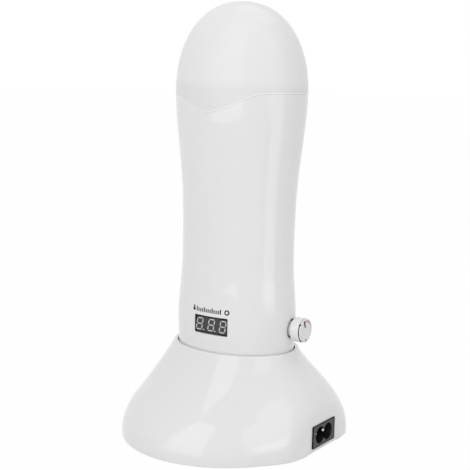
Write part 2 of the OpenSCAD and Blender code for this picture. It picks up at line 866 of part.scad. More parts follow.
// Pointer: raised bar on the knob's face, up and to the front
module knob_pointer() {
    color("black")
    translate([face_x, knob_y, knob_z])
        rotate([pointer_angle, 0, 0])
            translate([0, -pointer_w / 2, pointer_out - pointer_l])
                cube([pointer_t, pointer_w, pointer_l]);
}

// Lid: milky dome over the cartridge's roller
module lid() {
    lifts = [for (i = [0:11]) sin(90 * i / 12)];
    top_lift = sin(88.5);
    color("ghostwhite", 0.7)
        skin(concat(
            [for (f = concat([top_lift], reversed(lifts))) [for (t = angles)
                lid_point(mix(joint_z(t) + rest_gap, total_h - body_wall, f), t, body_wall)]],
            [for (f = concat(lifts, [top_lift])) [for (t = angles)
                lid_point(mix(joint_z(t) + rest_gap, total_h, f), t, 0)]]), false);
}

base_shell();
bottom_plate();
rubber_feet();
bottom_screws();
inlet_housing();
inlet_pins();
contact_carrier();
carrier_screws();
carrier_terminals();
base_leads();
contact_spring(-dock_pitch / 2);  // contact_spring_left
contact_spring(dock_pitch / 2);  // contact_spring_right
contact_pin(-dock_pitch / 2);  // contact_pin_left
contact_pin(dock_pitch / 2);  // contact_pin_right
body_shell();
bottom_cap();
cap_screws();
contact_plates();
chassis();
control_board();
board_parts();
board_screws();
display_module();
potentiometer();
potentiometer_nut();
handle_leads();
heater_leads();
heating_sleeve();
heater_wrap();
thermal_fuse();
temperature_sensor();
well_seal();
neck_collar();
knob();
knob_shaft();
knob_disc();
knob_pointer();
lid();
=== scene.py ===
"""Roll-on wax heater: an oval handle under a milky lid, standing in a flared docking base.

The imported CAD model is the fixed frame. Each operator builds one piece, or a group of like pieces,
around it, and the last one sets the stage. Sizes are in metres, +Z is up and -Y is the display
side.
"""

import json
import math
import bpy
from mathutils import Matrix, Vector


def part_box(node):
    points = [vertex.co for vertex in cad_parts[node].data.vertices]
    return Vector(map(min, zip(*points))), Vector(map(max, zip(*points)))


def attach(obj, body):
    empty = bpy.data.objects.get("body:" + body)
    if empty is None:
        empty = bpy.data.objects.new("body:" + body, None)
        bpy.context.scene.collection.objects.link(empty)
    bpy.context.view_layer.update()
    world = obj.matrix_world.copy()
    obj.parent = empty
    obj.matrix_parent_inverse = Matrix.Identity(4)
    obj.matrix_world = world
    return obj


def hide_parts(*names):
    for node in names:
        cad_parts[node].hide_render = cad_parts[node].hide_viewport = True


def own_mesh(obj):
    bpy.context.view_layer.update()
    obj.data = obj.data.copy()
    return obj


bl_info = {
    "name": "Roll-on Wax Heater",
    "version": (1, 0, 0),
    "blender": (4, 5, 0),
    "location": "3D View > Sidebar > Wax Heater",
    "description": "Builds the visible pieces and finishes of a roll-on wax heater",
    "category": "Add Mesh",
}

import bmesh
import bpy
import numpy as np
from bpy.props import FloatProperty, FloatVectorProperty, PointerProperty
from mathutils import Matrix, Vector

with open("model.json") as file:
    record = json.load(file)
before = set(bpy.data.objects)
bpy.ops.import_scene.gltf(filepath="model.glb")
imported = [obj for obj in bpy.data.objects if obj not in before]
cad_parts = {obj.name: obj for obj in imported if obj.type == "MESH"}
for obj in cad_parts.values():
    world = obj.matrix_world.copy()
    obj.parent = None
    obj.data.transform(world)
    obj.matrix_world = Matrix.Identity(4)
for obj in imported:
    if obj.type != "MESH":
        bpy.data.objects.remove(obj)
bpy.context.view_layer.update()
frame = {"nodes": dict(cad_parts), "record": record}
BASE_FOOT, BASE_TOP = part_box("base_shell")
HANDLE_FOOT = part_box("bottom_cap")[0]
LID_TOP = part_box("lid")[1]
KNOB_LOW, KNOB_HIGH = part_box("knob")
DISPLAY_LOW, DISPLAY_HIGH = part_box("display_module")
INLET_LOW, INLET_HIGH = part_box("inlet_housing")
PINS_LOW, PINS_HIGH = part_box("inlet_pins")
KNOB_Y, KNOB_Z = (KNOB_LOW.y + KNOB_HIGH.y) / 2, (KNOB_LOW.z + KNOB_HIGH.z) / 2
INLET_Y, INLET_Z = (INLET_LOW.y + INLET_HIGH.y) / 2, (INLET_LOW.z + INLET_HIGH.z) / 2
DISPLAY_Z = (DISPLAY_LOW.z + DISPLAY_HIGH.z) / 2

TURN = 2 * math.pi
WHITE = (1, 1, 1, 1)
MM, MICRON = 0.001, 0.000001
INK = 0.02 * MM  # how far a printed mark stands over its surface, or sinks into it
SCREW_HEAD, SMALL_HEAD, FOOT_PAD = 0.0028, 0.002, 0.0064  # radii


# ---------------------------------------------------------------- sizes and colours

def length(name, description, default):
    """A length in metres."""
    return FloatProperty(name=name, description=description, default=default, min=0,
                         unit="LENGTH", subtype="DISTANCE", precision=5)


def angle(name, description, degrees):
    """An angle, given in degrees and kept in radians."""
    return FloatProperty(name=name, description=description, default=math.radians(degrees),
                         unit="ROTATION", subtype="ANGLE")


def colour(name, description, default):
    """A linear colour without alpha."""
    return FloatVectorProperty(name=name, description=description, default=default, size=3,
                               min=0, max=1, subtype="COLOR")


class BaseSizes(bpy.types.PropertyGroup):
    """Sizes of the docking base."""
    foot_half_width: length("Foot half width", "Middle to the foot, side to side", -BASE_FOOT.x)
    foot_half_depth: length("Foot half depth", "Middle to the foot, front to back", -BASE_FOOT.y)
    lift: length("Lift", "Gap under the shell's lower edge", BASE_FOOT.z)
    rim_height: length("Rim height", "Height of the rim around the socket", BASE_TOP.z)
    rim_width: length("Rim width", "Width of the rim around the socket", 0.0018)
    wall: length("Wall", "Wall of the shell", 0.0026)
    facet: length("Inlet face", "Middle to the flat inlet face", 0.0589)
    field_half_width: length("Field half width", "Half width of the raised inlet field", 0.0305)
    field_height: length("Field height", "Height of the raised inlet field", 0.0345)
    socket_gap: length("Socket gap", "Gap between the socket and the handle", 0.0005)
    bend_height: length("Bend height", "Where the hollow flank rounds into the foot", 0.022)


class HandleSizes(bpy.types.PropertyGroup):
    """Sizes of the handle and its lid."""
    seam_half_width: length("Seam half width", "Half width where it enters the base", 0.0354)
    swell_half_width: length("Swell half width", "Half width of the lower swell", 0.036)
    waist_half_width: length("Waist half width", "Half width of the waist", 0.0338)
    wide_half_width: length("Widest half width", "Half width near the lid's rim", LID_TOP.x)
    wide_height: length("Widest height", "Height of the widest place", 0.195)
    top: length("Top", "Height of the lid's top", LID_TOP.z)
    wall: length("Wall", "Wall of the handle and the lid", 0.002)
    split_height: length("Joint height", "Highest place of the joint between handle and lid", 0.196)
    joint_slant: length("Joint slant", "Drop from the joint's highest place to its lowest", 0.005)
    joint_turn: angle("Joint turn", "Where the joint is highest", -26)
    dip_depth: length("Dip depth", "Depth of the joint's dip at the front", 0.0093)
    dip_half_width: length("Dip half width", "Half width of the joint's dip", 0.0325)
    dip_place: length("Dip place", "Middle of the joint's dip, side to side", -0.0014)
    lid_gap: length("Lid gap", "Gap between the handle's edge and the lid", 0.0003)
    collar_rise: length("Collar rise", "Height of the collar above the joint", 0.006)


class FrontSizes(bpy.types.PropertyGroup):
    """Sizes of the display, the knob and the inlet."""
    window_width: length("Window width", "Width of the display window", 0.022)
    window_height: length("Window height", "Height of the display window", 0.0103)
    window_corner: length("Window corner", "Corner radius of the display window", 0.0006)
    digit_height: length("Digit height", "Height of one digit", 0.0071)
    digit_width: length("Digit width", "Width of one digit", 0.0043)
    digit_pitch: length("Digit pitch", "Distance between digits", 0.0077)
    digit_slant: angle("Digit slant", "Lean of the digits", 10)
    knob_hole: length("Knob hole", "Radius of the knob's hole in the handle", 0.0056)
    inlet_hole_width: length("Inlet hole width", "Width of the inlet's hole in the base", 0.0203)
    inlet_hole_height: length("Inlet hole height", "Height of the inlet's hole in the base", 0.011)
    pin_pitch: length("Pin pitch", "Distance between the inlet pins", 0.0086)
    pin_radius: length("Pin radius", "Radius of an inlet pin", 0.0012)
    socket_depth: length("Socket depth", "Depth of the inlet's cavity", 0.012)
    lobe: length("Socket lobe", "Radius of each round end of the inlet's cavity", 0.0048)
    dock_pitch: length("Contact pitch", "Distance between the docking contacts", 0.018)


class FinishColours(bpy.types.PropertyGroup):
    """Colours of the main finishes."""
    shell: colour("Shell", "Glossy white plastic", (0.80, 0.80, 0.80))
    lid: colour("Lid", "Milky lid plastic", (0.885, 0.885, 0.885))
    # Lid rim: lighter than the lid, a painted highlight along its lower edge
    rim: colour("Lid rim", "Polished lower edge of the lid", (0.90, 0.90, 0.90))
    plain: colour("Plain white", "Matt white plastic", (0.74, 0.74, 0.73))
    black: colour("Black", "Black plastic", (0.012, 0.012, 0.013))
    display: colour("Display", "Display face", (0.032, 0.033, 0.035))
    segment: colour("Segment", "Unlit display segment", (0.55, 0.56, 0.56))
    disc: colour("Disc", "Disc in the knob", (0.76, 0.765, 0.77))
    scale_red: colour("Scale red", "Arc printed on the knob", (0.60, 0.36, 0.39))


class StageSettings(bpy.types.PropertyGroup):
    """Camera place and lights."""
    azimuth: angle("Azimuth", "Camera's place around the object", 32.683)
    distance: length("Distance", "Level distance from the camera to the axis", 0.67222)
    height: length("Height", "Height of the camera", 0.22808)
    aim: angle("Aim", "Turn of the camera away from the axis", 0.158)
    pitch: angle("Pitch", "How far the camera looks down", 9.603)
    roll: angle("Roll", "Lean of the camera", 1.238)
    lens: FloatProperty(name="Lens", description="Focal length", default=91.863, unit="CAMERA")


class WaxHeaterSettings(bpy.types.PropertyGroup):
    """Everything a user would change."""
    base: PointerProperty(type=BaseSizes, name="Base", description="Sizes of the base")
    handle: PointerProperty(type=HandleSizes, name="Handle", description="Sizes of the handle")
    front: PointerProperty(type=FrontSizes, name="Front", description="Sizes of the controls")
    colours: PointerProperty(type=FinishColours, name="Colours", description="Main colours")
    stage: PointerProperty(type=StageSettings, name="Stage", description="Camera and lights")


# ---------------------------------------------------------------- curves and surfaces

def mix(a, b, t):
    """The value a fraction t of the way from a to b."""
    return a + (b - a) * t


def ease(t):
    """From 0 to 1, level at both ends: (1 - cos(pi t)) / 2, with t held within 0 and 1."""
    return (1 - np.cos(np.pi * np.clip(t, 0, 1))) / 2


def ring_angles(count):
    """Evenly spaced angles around a full turn."""
    return np.arange(count) * TURN / count


def stack(x, y, z):
    """Points from three coordinates that broadcast together."""
    return np.stack(np.broadcast_arrays(x, y, z), axis=-1)


class HandleForm:
    """Outer form of the handle and the lid."""
    oval = 1.3  # width over depth
    flank_power = 1.55
    dome_power = 2.17
    swell_rise = 0.014  # from the rim up to the swell
    waist_rise = 0.052  # from the rim up to the waist

    def __init__(self, settings):
        self.size = settings.handle
        self.foot = HANDLE_FOOT.z
        self.rim = settings.base.rim_height

    def half_width(self, z):
        """Eased from seam to swell to waist to the widest place, then a dome of power 2.17."""
        s = self.size
        swell, waist = self.rim + self.swell_rise, self.rim + self.waist_rise
        flank = np.clip((z - waist) / (s.wide_height - waist), 0, 1) ** self.flank_power
        return np.select(
            [z < swell, z < waist, z < s.wide_height],
            [mix(s.seam_half_width, s.swell_half_width, ease((z - self.rim) / (swell - self.rim))),
             mix(s.swell_half_width, s.waist_half_width, ease((z - swell) / (waist - swell))),
             mix(s.waist_half_width, s.wide_half_width, ease(flank))],
            s.wide_half_width * self.dome(z, 0))

    def dome(self, z, inset):
        """Share of the widest size that is left above the widest place: (1 - h^p)^(1/p)."""
        s = self.size
        rise = np.clip((z - s.wide_height) / (s.top - s.wide_height - inset), 0, 1)
        return (1 - rise ** self.dome_power) ** (1 / self.dome_power)

    def joint(self, t):
        """Height of the joint at angle t: a slant of cosine form and one eased dip at the front."""
        s = self.size
        slant = s.joint_slant * (1 - np.cos(t - s.joint_turn)) / 2
        dip = 1 - ease(np.abs(s.wide_half_width * np.cos(t) - s.dip_place) / s.dip_half_width)
        return s.split_height - slant - np.where(np.sin(t) < 0, s.dip_depth * dip, 0)

    def skin(self, z, t, inset=0.0):
        """Oval of the handle at height z and angle t, moved in by inset."""
        a = self.half_width(z)
        return stack((a - inset) * np.cos(t), (a / self.oval - inset) * np.sin(t), z)

    def lid(self, z, t, inset=0.0):
        """Oval of the lid at height z and angle t; the inset also lowers the dome's top."""
        s = self.size
        share = np.where(z < s.wide_height, self.half_width(z) / s.wide_half_width,
                         self.dome(z, inset))
        return stack((s.wide_half_width - inset) * share * np.cos(t),
                     (s.wide_half_width / self.oval - inset) * share * np.sin(t), z)

    def front(self, x, z, inset=0.0):
        """Point of the front at a width and a height: y from the ellipse's equation."""
        a = self.half_width(z)
        return stack(x, -(a / self.oval - inset) * np.sqrt(1 - (x / (a - inset)) ** 2), z)

    def side(self, y, z, inset=0.0):
        """Point of the knob's side at a depth and a height: x from the ellipse's equation."""
        a = self.half_width(z)
        return stack((a - inset) * np.sqrt(1 - (y / (a / self.oval - inset)) ** 2), y, z)


class BaseForm:
    """Outer form of the docking base."""
    heel = 0.003  # height under which the foot is upright
    bend_share = 0.735  # share of the flare that lies above the bend
    hollow = 0.1
    field_power = 2.4
    field_blend = 0.47
    facet_blend = 0.0025
    cut_half_width = 0.014
    cut_blend = 0.010
    cup_wall = 0.0018  # wall around the socket
    floor_wall = 0.002  # wall under the socket
    cup_rise = 0.007  # from the socket's floor to where the shell's cavity ends

    def __init__(self, settings):
        self.size = settings.base
        seam = settings.handle.seam_half_width
        self.socket = (seam + self.size.socket_gap, seam / HandleForm.oval + self.size.socket_gap)
        self.rim = tuple(half + self.size.rim_width for half in self.socket)
        self.floor = HANDLE_FOOT.z - settings.handle.lid_gap

    def flare(self, z):
        """0 at the rim and 1 at the foot: a flank hollowed by k u (1 - u), then a parabola that
        ends upright in the heel."""
        s = self.size
        down = (s.rim_height - z) / (s.rim_height - s.bend_height)
        flank = self.bend_share * down - self.hollow * down * (1 - down)
        rise = np.maximum(0, z - self.heel) / (s.bend_height - self.heel)
        return np.where(z > s.bend_height, flank, 1 - (1 - self.bend_share) * rise ** 2)

    def field(self, y, z):
        """Weight of the flat inlet field: 1 inside a superellipse, eased to 0 outside it."""
        s, power = self.size, self.field_power
        across, up = np.abs(y) / s.field_half_width, z / s.field_height
        reach = (across ** power + up ** power) ** (1 / power)
        return ease((1 + self.field_blend - reach) / (2 * self.field_blend))

    def settle(self, excess):
        """0 above the facet, itself well below it, and a cubic in between, so no crease shows."""
        t = np.clip(1 + excess / self.facet_blend, 0, 1)
        return np.where(t > 0, -self.facet_blend * (1 - t) ** 2 * (1 + t), excess)

    def skin(self, z, t, inset=0.0):
        """Flared oval at height z and angle t. On the inlet's side it is drawn out to the facet,
        and what would stand past the facet is cut flat as wide as the inlet."""
        s = self.size
        x = (mix(self.rim[0], s.foot_half_width, self.flare(z)) - inset) * np.cos(t)
        y = (mix(self.rim[1], s.foot_half_depth, self.flare(z)) - inset) * np.sin(t)
        facet = s.facet - inset
        excess = np.where(x > facet, x, mix(x, facet, self.field(y, z))) - facet
        beside = ease((np.abs(y) - self.cut_half_width) / self.cut_blend)
        return stack(np.where(x > 0, facet + mix(self.settle(excess), excess, beside), x), y, z)

    def oval(self, grow, z, t):
        """Oval concentric with the socket and larger by grow, at height z."""
        return stack((self.socket[0] + grow) * np.cos(t), (self.socket[1] + grow) * np.sin(t), z)


def arc(count, start=0.0, end=90.0):
    """Angles of a rounding, from start to end degrees."""
    return np.radians(np.linspace(start, end, count))


def rows(*parts):
    """Rings and grids of rings joined into one grid."""
    return np.concatenate([p[None] if p.ndim == 2 else p for p in parts])


def to_centre(ring, steps, last=0.0):
    """Rings that shrink from a ring to its middle, for a flat end."""
    middle = ring.mean(axis=0)
    shares = np.linspace(1, last, steps + 1)[1:, None, None]
    return middle + (ring - middle) * shares


def prism(outline, back, front):
    """Rings of a flat closed prism between two depths: middle, outline, outline, middle."""
    rear, fore = back(outline), front(outline)
    return rows(to_centre(rear, 1), rear, fore, to_centre(fore, 1))


def turned_edge(start, corner, end, count=6):
    """Rings of a rounded edge: a parabola that leaves one face at start and meets the next at end,
    tangent to both because its control point is the sharp corner."""
    s = np.linspace(0, 1, count + 1)[:, None, None]
    return (1 - s) ** 2 * start + 2 * s * (1 - s) * corner + s ** 2 * end


def turned(ring, corner, before, after, count=6):
    """turned_edge of a function ring(a, b): the corner's a and b, then the step from there to each
    end of the rounding."""
    (a, b), (a_in, b_in), (a_out, b_out) = corner, before, after
    return turned_edge(ring(a + a_in, b + b_in), ring(a, b), ring(a + a_out, b + b_out), count)


def square_loop(across, up):
    """Edge points of a square grid with those lines, anticlockwise from its first corner."""
    grid = stack(across[None, :], up[:, None], 0.0)[..., :2]
    return block_loop(grid, 0, len(up) - 1, 0, len(across) - 1)


def block_loop(grid, row_low, row_high, col_low, col_high):
    """Edge points of a block of a grid, anticlockwise from its first corner."""
    return np.concatenate([grid[row_low, col_low:col_high], grid[row_low:row_high, col_high],
                           grid[row_high, col_high:col_low:-1], grid[row_high:row_low:-1, col_low]])


def side_lines(half, corner, straight, bends=3):
    """Lines from -1 to 1 across a side: even along its straight run and close together at its
    corners, where they lie at tangents of even angles, so a rounded corner gets even points."""
    bend = half - corner + corner * np.tan(np.radians(np.linspace(0, 45, bends + 1)[1:]))
    run = np.linspace(-(half - corner), half - corner, straight + 1)
    return np.concatenate([-bend[::-1], run, bend]) / half


def rounded_rectangle(loop, half_width, half_height, corner, grow=0.0):
    """Carries the edge of a unit square to a rectangle with round corners, larger by grow."""
    half = np.array([half_width, half_height]) + grow
    radius = corner + grow
    point = loop * half
    centre = half - radius
    beyond = np.abs(point) - centre
    bend = (beyond > 0).all(axis=1)
    reach = np.maximum(np.linalg.norm(np.maximum(beyond, 0), axis=1), 1e-12)[:, None]
    curved = np.sign(point) * (centre + radius * beyond / reach)
    return np.where(bend[:, None], curved, point)


def round_loop(loop, radius):
    """Carries the edge of a unit square to a circle, along rays from the middle."""
    return radius * loop / np.linalg.norm(loop, axis=1, keepdims=True)


class Surface:
    """Collects grids of points and turns them into one closed mesh piece."""

    def __init__(self):
        self.points, self.quads, self.count = [], [], 0

    def grid(self, points, wrap=True, flip=False, holes=()):
        """Adds quads between neighbouring rows and columns. wrap joins the last column to the
        first, and a hole leaves out the block between two rows and two columns."""
        count_rows, count_cols = points.shape[:2]
        index = np.arange(count_rows * count_cols).reshape(count_rows, count_cols) + self.count
        far = np.roll(index, -1, axis=1)
        quads = np.stack([index[:-1], far[:-1], far[1:], index[1:]], axis=-1)
        keep = np.ones(quads.shape[:2], bool)
        keep[:, -1] = wrap
        for row_low, row_high, col_low, col_high in holes:
            keep[row_low:row_high, col_low:col_high] = False
        quads = quads[keep]
        self.quads.append(quads[:, ::-1] if flip else quads)
        self.points.append(points.reshape(-1, 3))
        self.count += count_rows * count_cols
        return self

    def piece(self, name, sharp=40.0, weld=1e-7):
        """Makes the object: seams and poles are welded, edges over the sharp angle stay crisp."""
        mesh = bpy.data.meshes.new(name)
        mesh.from_pydata(np.concatenate(self.points), [], np.concatenate(self.quads))
        work = bmesh.new()
        work.from_mesh(mesh)
        bmesh.ops.remove_doubles(work, verts=work.verts, dist=weld)
        bmesh.ops.dissolve_degenerate(work, edges=work.edges, dist=weld)
        work.to_mesh(mesh)
        work.free()
        mesh.shade_smooth()
        mesh.set_sharp_from_angle(angle=math.radians(sharp))
        thing = bpy.data.objects.new(name, mesh)
        bpy.context.scene.collection.objects.link(thing)
        return thing


def lathe(profile, origin, axis="X", sides=96):
    """Turns (radius, distance) pairs around an axis through origin: a ring per pair."""
    profile = np.asarray(profile, float)
    t = ring_angles(sides)
    radius, along = profile[:, :1], profile[:, 1:]
    u, v, w = radius * np.cos(t), radius * np.sin(t), along + 0 * t
    turned = {"X": (w, u, v), "Z": (u, v, w), "-Y": (u, -w, v)}[axis]
    return stack(*turned) + np.asarray(origin, float)


def bend_profile(corner, start, end, radius, count=6):
    """Round corner of a profile: points of the arc about corner, from start to end degrees."""
    t = arc(count, start, end)
    return np.stack([corner[0] + radius * np.cos(t), corner[1] + radius * np.sin(t)], axis=-1)


def cut_away(piece, cutters):
    """Cuts solid cutters out of a closed piece and removes them."""
    for cutter in cutters:
        modifier = piece.modifiers.new("cut", "BOOLEAN")
        modifier.operation, modifier.solver, modifier.object = "DIFFERENCE", "EXACT", cutter
    evaluated = piece.evaluated_get(bpy.context.evaluated_depsgraph_get())
    cut = bpy.data.meshes.new_from_object(evaluated)
    piece.modifiers.clear()
    old, piece.data = piece.data, cut
    bpy.data.meshes.remove(old)
    for cutter in cutters:
        bpy.data.meshes.remove(cutter.data)
    cut.shade_smooth()
    cut.set_sharp_from_angle(angle=math.radians(40))
    return piece


# ---------------------------------------------------------------- finishes

class Value:
    """An output socket whose arithmetic adds Math nodes."""

    def __init__(self, nodes, socket):
        self.nodes, self.socket = nodes, socket

    def maths(self, operation, *values):
        """Result of a Math node with those values or links on its sockets."""
        node = self.nodes.node("ShaderNodeMath", {"operation": operation}, dict(enumerate(values)))
        return Value(self.nodes, node.outputs[0])

    def __add__(self, other):
        return self.maths("ADD", self, other)

    def __rsub__(self, other):
        return self.maths("SUBTRACT", other, self)

    def __mul__(self, other):
        return self.maths("MULTIPLY", self, other)

    def between(self, low, high):
        """0 below low, 1 above high and smooth between them."""
        node = self.nodes.node("ShaderNodeMapRange", {"interpolation_type": "SMOOTHSTEP"},
                               {"Value": self, "From Min": low, "From Max": high})
        return Value(self.nodes, node.outputs[0])


class NodeTree:
    """The nodes of a material or of the world, and the one way in which more are added."""

    def __init__(self, owner):
        owner.use_nodes = True
        self.tree = owner.node_tree

    def node(self, kind, settings=None, sockets=None):
        """Adds a node: its settings first, then the values or links of its sockets."""
        node = self.tree.nodes.new(kind)
        for name, setting in (settings or {}).items():
            setattr(node, name, setting)
        for key, value in (sockets or {}).items():
            if isinstance(value, Value):
                value = value.socket
            if isinstance(value, bpy.types.NodeSocket):
                self.tree.links.new(value, node.inputs[key])
            else:
                node.inputs[key].default_value = value
        return node

    def seen(self):
        """1 for rays that come straight, or by gloss or glass, from the camera."""
        path = self.node("ShaderNodeLightPath").outputs
        seen = Value(self, path["Is Camera Ray"])
        for ray in ("Is Glossy Ray", "Is Transmission Ray"):
            seen = seen.maths("MAXIMUM", seen, path[ray])
        return seen

    def blend(self, share, first, second, output):
        """Ends the tree in a mix of two shaders."""
        node = self.node("ShaderNodeMixShader", None, {0: share, 1: first, 2: second})
        self.tree.links.new(node.outputs[0], self.tree.nodes[output].inputs["Surface"])


class Finish(NodeTree):
    """One procedural material around a Principled shader."""

    def __init__(self, name, **numbers):
        self.material = bpy.data.materials.new(name)
        super().__init__(self.material)
        self.shader = self.tree.nodes["Principled BSDF"]
        for socket, number in numbers.items():
            self.shader.inputs[socket.replace("_", " ")].default_value = number
        self.place = self.node("ShaderNodeTexCoord").outputs["Object"]

    def feed(self, socket, value):
        """Links a value or a socket into the shader."""
        link = value.socket if isinstance(value, Value) else value
        self.tree.links.new(link, self.shader.inputs[socket])

    def pattern(self, kind, size, stretch, **sockets):
        """A texture whose marks are about size metres across, stretched along the axes."""
        place = self.node("ShaderNodeMapping", None, {"Vector": self.place, "Scale": stretch})
        node = self.node(kind, None, {"Vector": place.outputs[0], "Scale": 1 / size, **sockets})
        return Value(self, node.outputs[0])

    def noise(self, size, detail=2.0, stretch=(1, 1, 1)):
        """Cloudy pattern."""
        return self.pattern("ShaderNodeTexNoise", size, stretch, Detail=detail)

    def specks(self, size, stretch=(1, 1, 1)):
        """Distance from scattered points."""
        return self.pattern("ShaderNodeTexVoronoi", size, stretch)

    def tint(self, low, high, share):
        """Colour between low and high by share."""
        node = self.node("ShaderNodeMix", {"data_type": "RGBA"},
                         {0: share, 6: (*low, 1.0), 7: (*high, 1.0)})
        return node.outputs[2]

    def relief(self, height, depth, strength=1.0):
        """Feeds a bump of that depth in metres into the shader's normal."""
        node = self.node("ShaderNodeBump", None,
                         {"Height": height, "Distance": depth, "Strength": strength})
        self.feed("Normal", node.outputs[0])


def shade(rgb, factor):
    """A colour made darker or lighter by one factor."""
    return tuple(min(1.0, channel * factor) for channel in rgb)


def moulded(name, rgb, rough, spread, peel, specular=0.5, **numbers):
    """Moulded plastic: faint flow clouds in its colour, uneven polish and a fine orange peel."""
    f = Finish(name, Specular_IOR_Level=specular, **numbers)
    clouds = f.noise(0.022, 3)
    f.feed("Base Color", f.tint(shade(rgb, 1 - spread), shade(rgb, 1 + spread), clouds))
    polish = f.noise(0.006, 4) * 0.6 + f.noise(0.0007, 2) * 0.4
    f.feed("Roughness", polish * (rough * 0.5) + rough * 0.75)
    f.relief(f.noise(0.0021, 2) * 0.7 + f.noise(0.00035, 1) * 0.3, peel * MICRON)
    return f


def metal(name, rgb, rough, grain):
    """Worked metal: fine tool lines in its polish, faint stain in its colour."""
    f = Finish(name, Metallic=1.0)
    lines = f.noise(0.0004, 2, grain)
    f.feed("Base Color", f.tint(shade(rgb, 0.9), shade(rgb, 1.05), f.noise(0.004, 3)))
    f.feed("Roughness", lines * (rough * 0.6) + rough * 0.7)
    f.relief(lines, 4 * MICRON)
    return f


def make_finishes(colours):
    """All finishes by the record's slot, and the printed ones that only this scene has."""
    c = colours
    # Colour, roughness, spread of the colour, depth of the peel in micrometres, specular level
    plastics = {
        "white_gloss": (c.shell, 0.035, 0.004, 0.8),
        "plain_white": (c.plain, 0.48, 0.012, 12),
        "black_plastic": (c.black, 0.42, 0.15, 12),
        "display_dark": (c.display, 0.3, 0.06, 4),
        "segment_grey": (c.segment, 0.4, 0.04, 4),
        "rim_painted_highlight": (c.rim, 0.15, 0.004, 1),
        # Near-black of the knob's seal and of painted shade: the inlet flange's edge, the knob's
        # groove line and the display's border
        "seal_and_painted_shade_black": ((0.003, 0.003, 0.003), 0.7, 0.1, 10, 0.1),
        "mark_grey": ((0.04, 0.04, 0.041), 0.5, 0.05, 3),
        "disc_grey": (c.disc, 0.3, 0.02, 3),
        "pointer_black": ((0.006, 0.006, 0.006), 0.6, 0.1, 4, 0.15),
        "scale_red": (c.scale_red, 0.45, 0.05, 3),
        "rubber_grey": ((0.03, 0.03, 0.031), 0.75, 0.12, 30),
        "silicone": ((0.55, 0.55, 0.54), 0.6, 0.03, 10),
        "ceramic": ((0.75, 0.72, 0.64), 0.7, 0.05, 20),
        "wire_red": ((0.5, 0.03, 0.025), 0.4, 0.06, 8),
    }
    # Colour, roughness and how far the tool lines are squeezed along each axis
    metals = {
        "steel": ((0.60, 0.60, 0.61), 0.25, (1, 1, 6)),
        "brass": ((0.78, 0.56, 0.24), 0.22, (6, 1, 1)),
        "aluminium": ((0.80, 0.80, 0.81), 0.3, (1, 1, 0.12)),
    }
    made = {name: moulded(name, *values) for name, values in plastics.items()}
    made.update({name: metal(name, *values) for name, values in metals.items()})
    made["lid_milky"] = milky_finish(c.lid, HandleForm(heater()))
    made["board_green"] = board_finish()
    made["heater_film"] = film_finish()
    return {slot: f.material for slot, f in made.items()}


def milky_finish(rgb, form):
    """Milky lid plastic: glossy and slightly see-through, with painted shade: greyer where the
    collar stands close behind it and keeps light from coming through, and a fine painted shade line
    along the collar's top."""
    f = moulded("lid_milky", rgb, 0.15, 0.01, 1.5, 0.2, Sheen_Weight=0.12, Sheen_Roughness=0.4)
    place = f.node("ShaderNodeSeparateXYZ", None, {0: f.place})
    height = Value(f, place.outputs["Z"])
    collar, fine = form.size.split_height + form.size.collar_rise, 0.0004
    # Painted shade of the collar behind the lid: darker below the collar's top, with a thin darker
    # line along it
    painted_shade_below_collar = 1 - height.between(collar - 0.005, collar + 0.001)
    line = height.between(collar - fine, collar) * (1 - height.between(collar, collar + fine))
    painted_collar_shade = painted_shade_below_collar * 0.8 + line * 0.35
    f.feed("Base Color", f.tint(rgb, shade(rgb, 0.94), painted_collar_shade + f.noise(0.022, 3) * 0.1))
    f.feed("Alpha", f.noise(0.03, 2) * 0.03 + 0.91)
    return f


def board_finish():
    """Solder mask with copper tracks showing through as paler bands."""
    f = Finish("board_green", Roughness=0.35)
    tracks = f.specks(0.0026, (1, 0.1, 1)).between(0.42, 0.5)
    f.feed("Base Color", f.tint((0.008, 0.075, 0.03), (0.02, 0.16, 0.06), tracks))
    f.relief(tracks, 30 * MICRON)
    return f


def film_finish():
    """Amber heating film with a darker meander of resistive track."""
    f = Finish("heater_film", Roughness=0.38)
    wave = f.node("ShaderNodeTexWave", {"wave_type": "BANDS", "bands_direction": "Z"},
                  {"Vector": f.place, "Scale": 55.0, "Distortion": 1.2, "Detail": 1.0})
    track = Value(f, wave.outputs[0]).between(0.35, 0.6)
    f.feed("Base Color", f.tint((0.30, 0.13, 0.03), (0.58, 0.30, 0.08), track))
    f.relief(track, 50 * MICRON)
    return f


FINISHES = {}


def finish(slot):
    """The material of a slot, made when it is first asked for."""
    if not FINISHES:
        FINISHES.update(make_finishes(bpy.context.scene.wax_heater.colours))
    return FINISHES[slot]


def dress(piece, body, slot, replaced=(), look=None):
    """Gives a piece the finish of its look, or else of its slot, puts it on its body and hides the
    CAD nodes that it stands for.
    """
    piece.data.materials.clear()
    piece.data.materials.append(finish(look or slot))
    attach(piece, body)
    if replaced:
        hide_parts(*replaced)
    return piece


# ---------------------------------------------------------------- pieces

def heater():
    """All settings of this object."""
    return bpy.context.scene.wax_heater


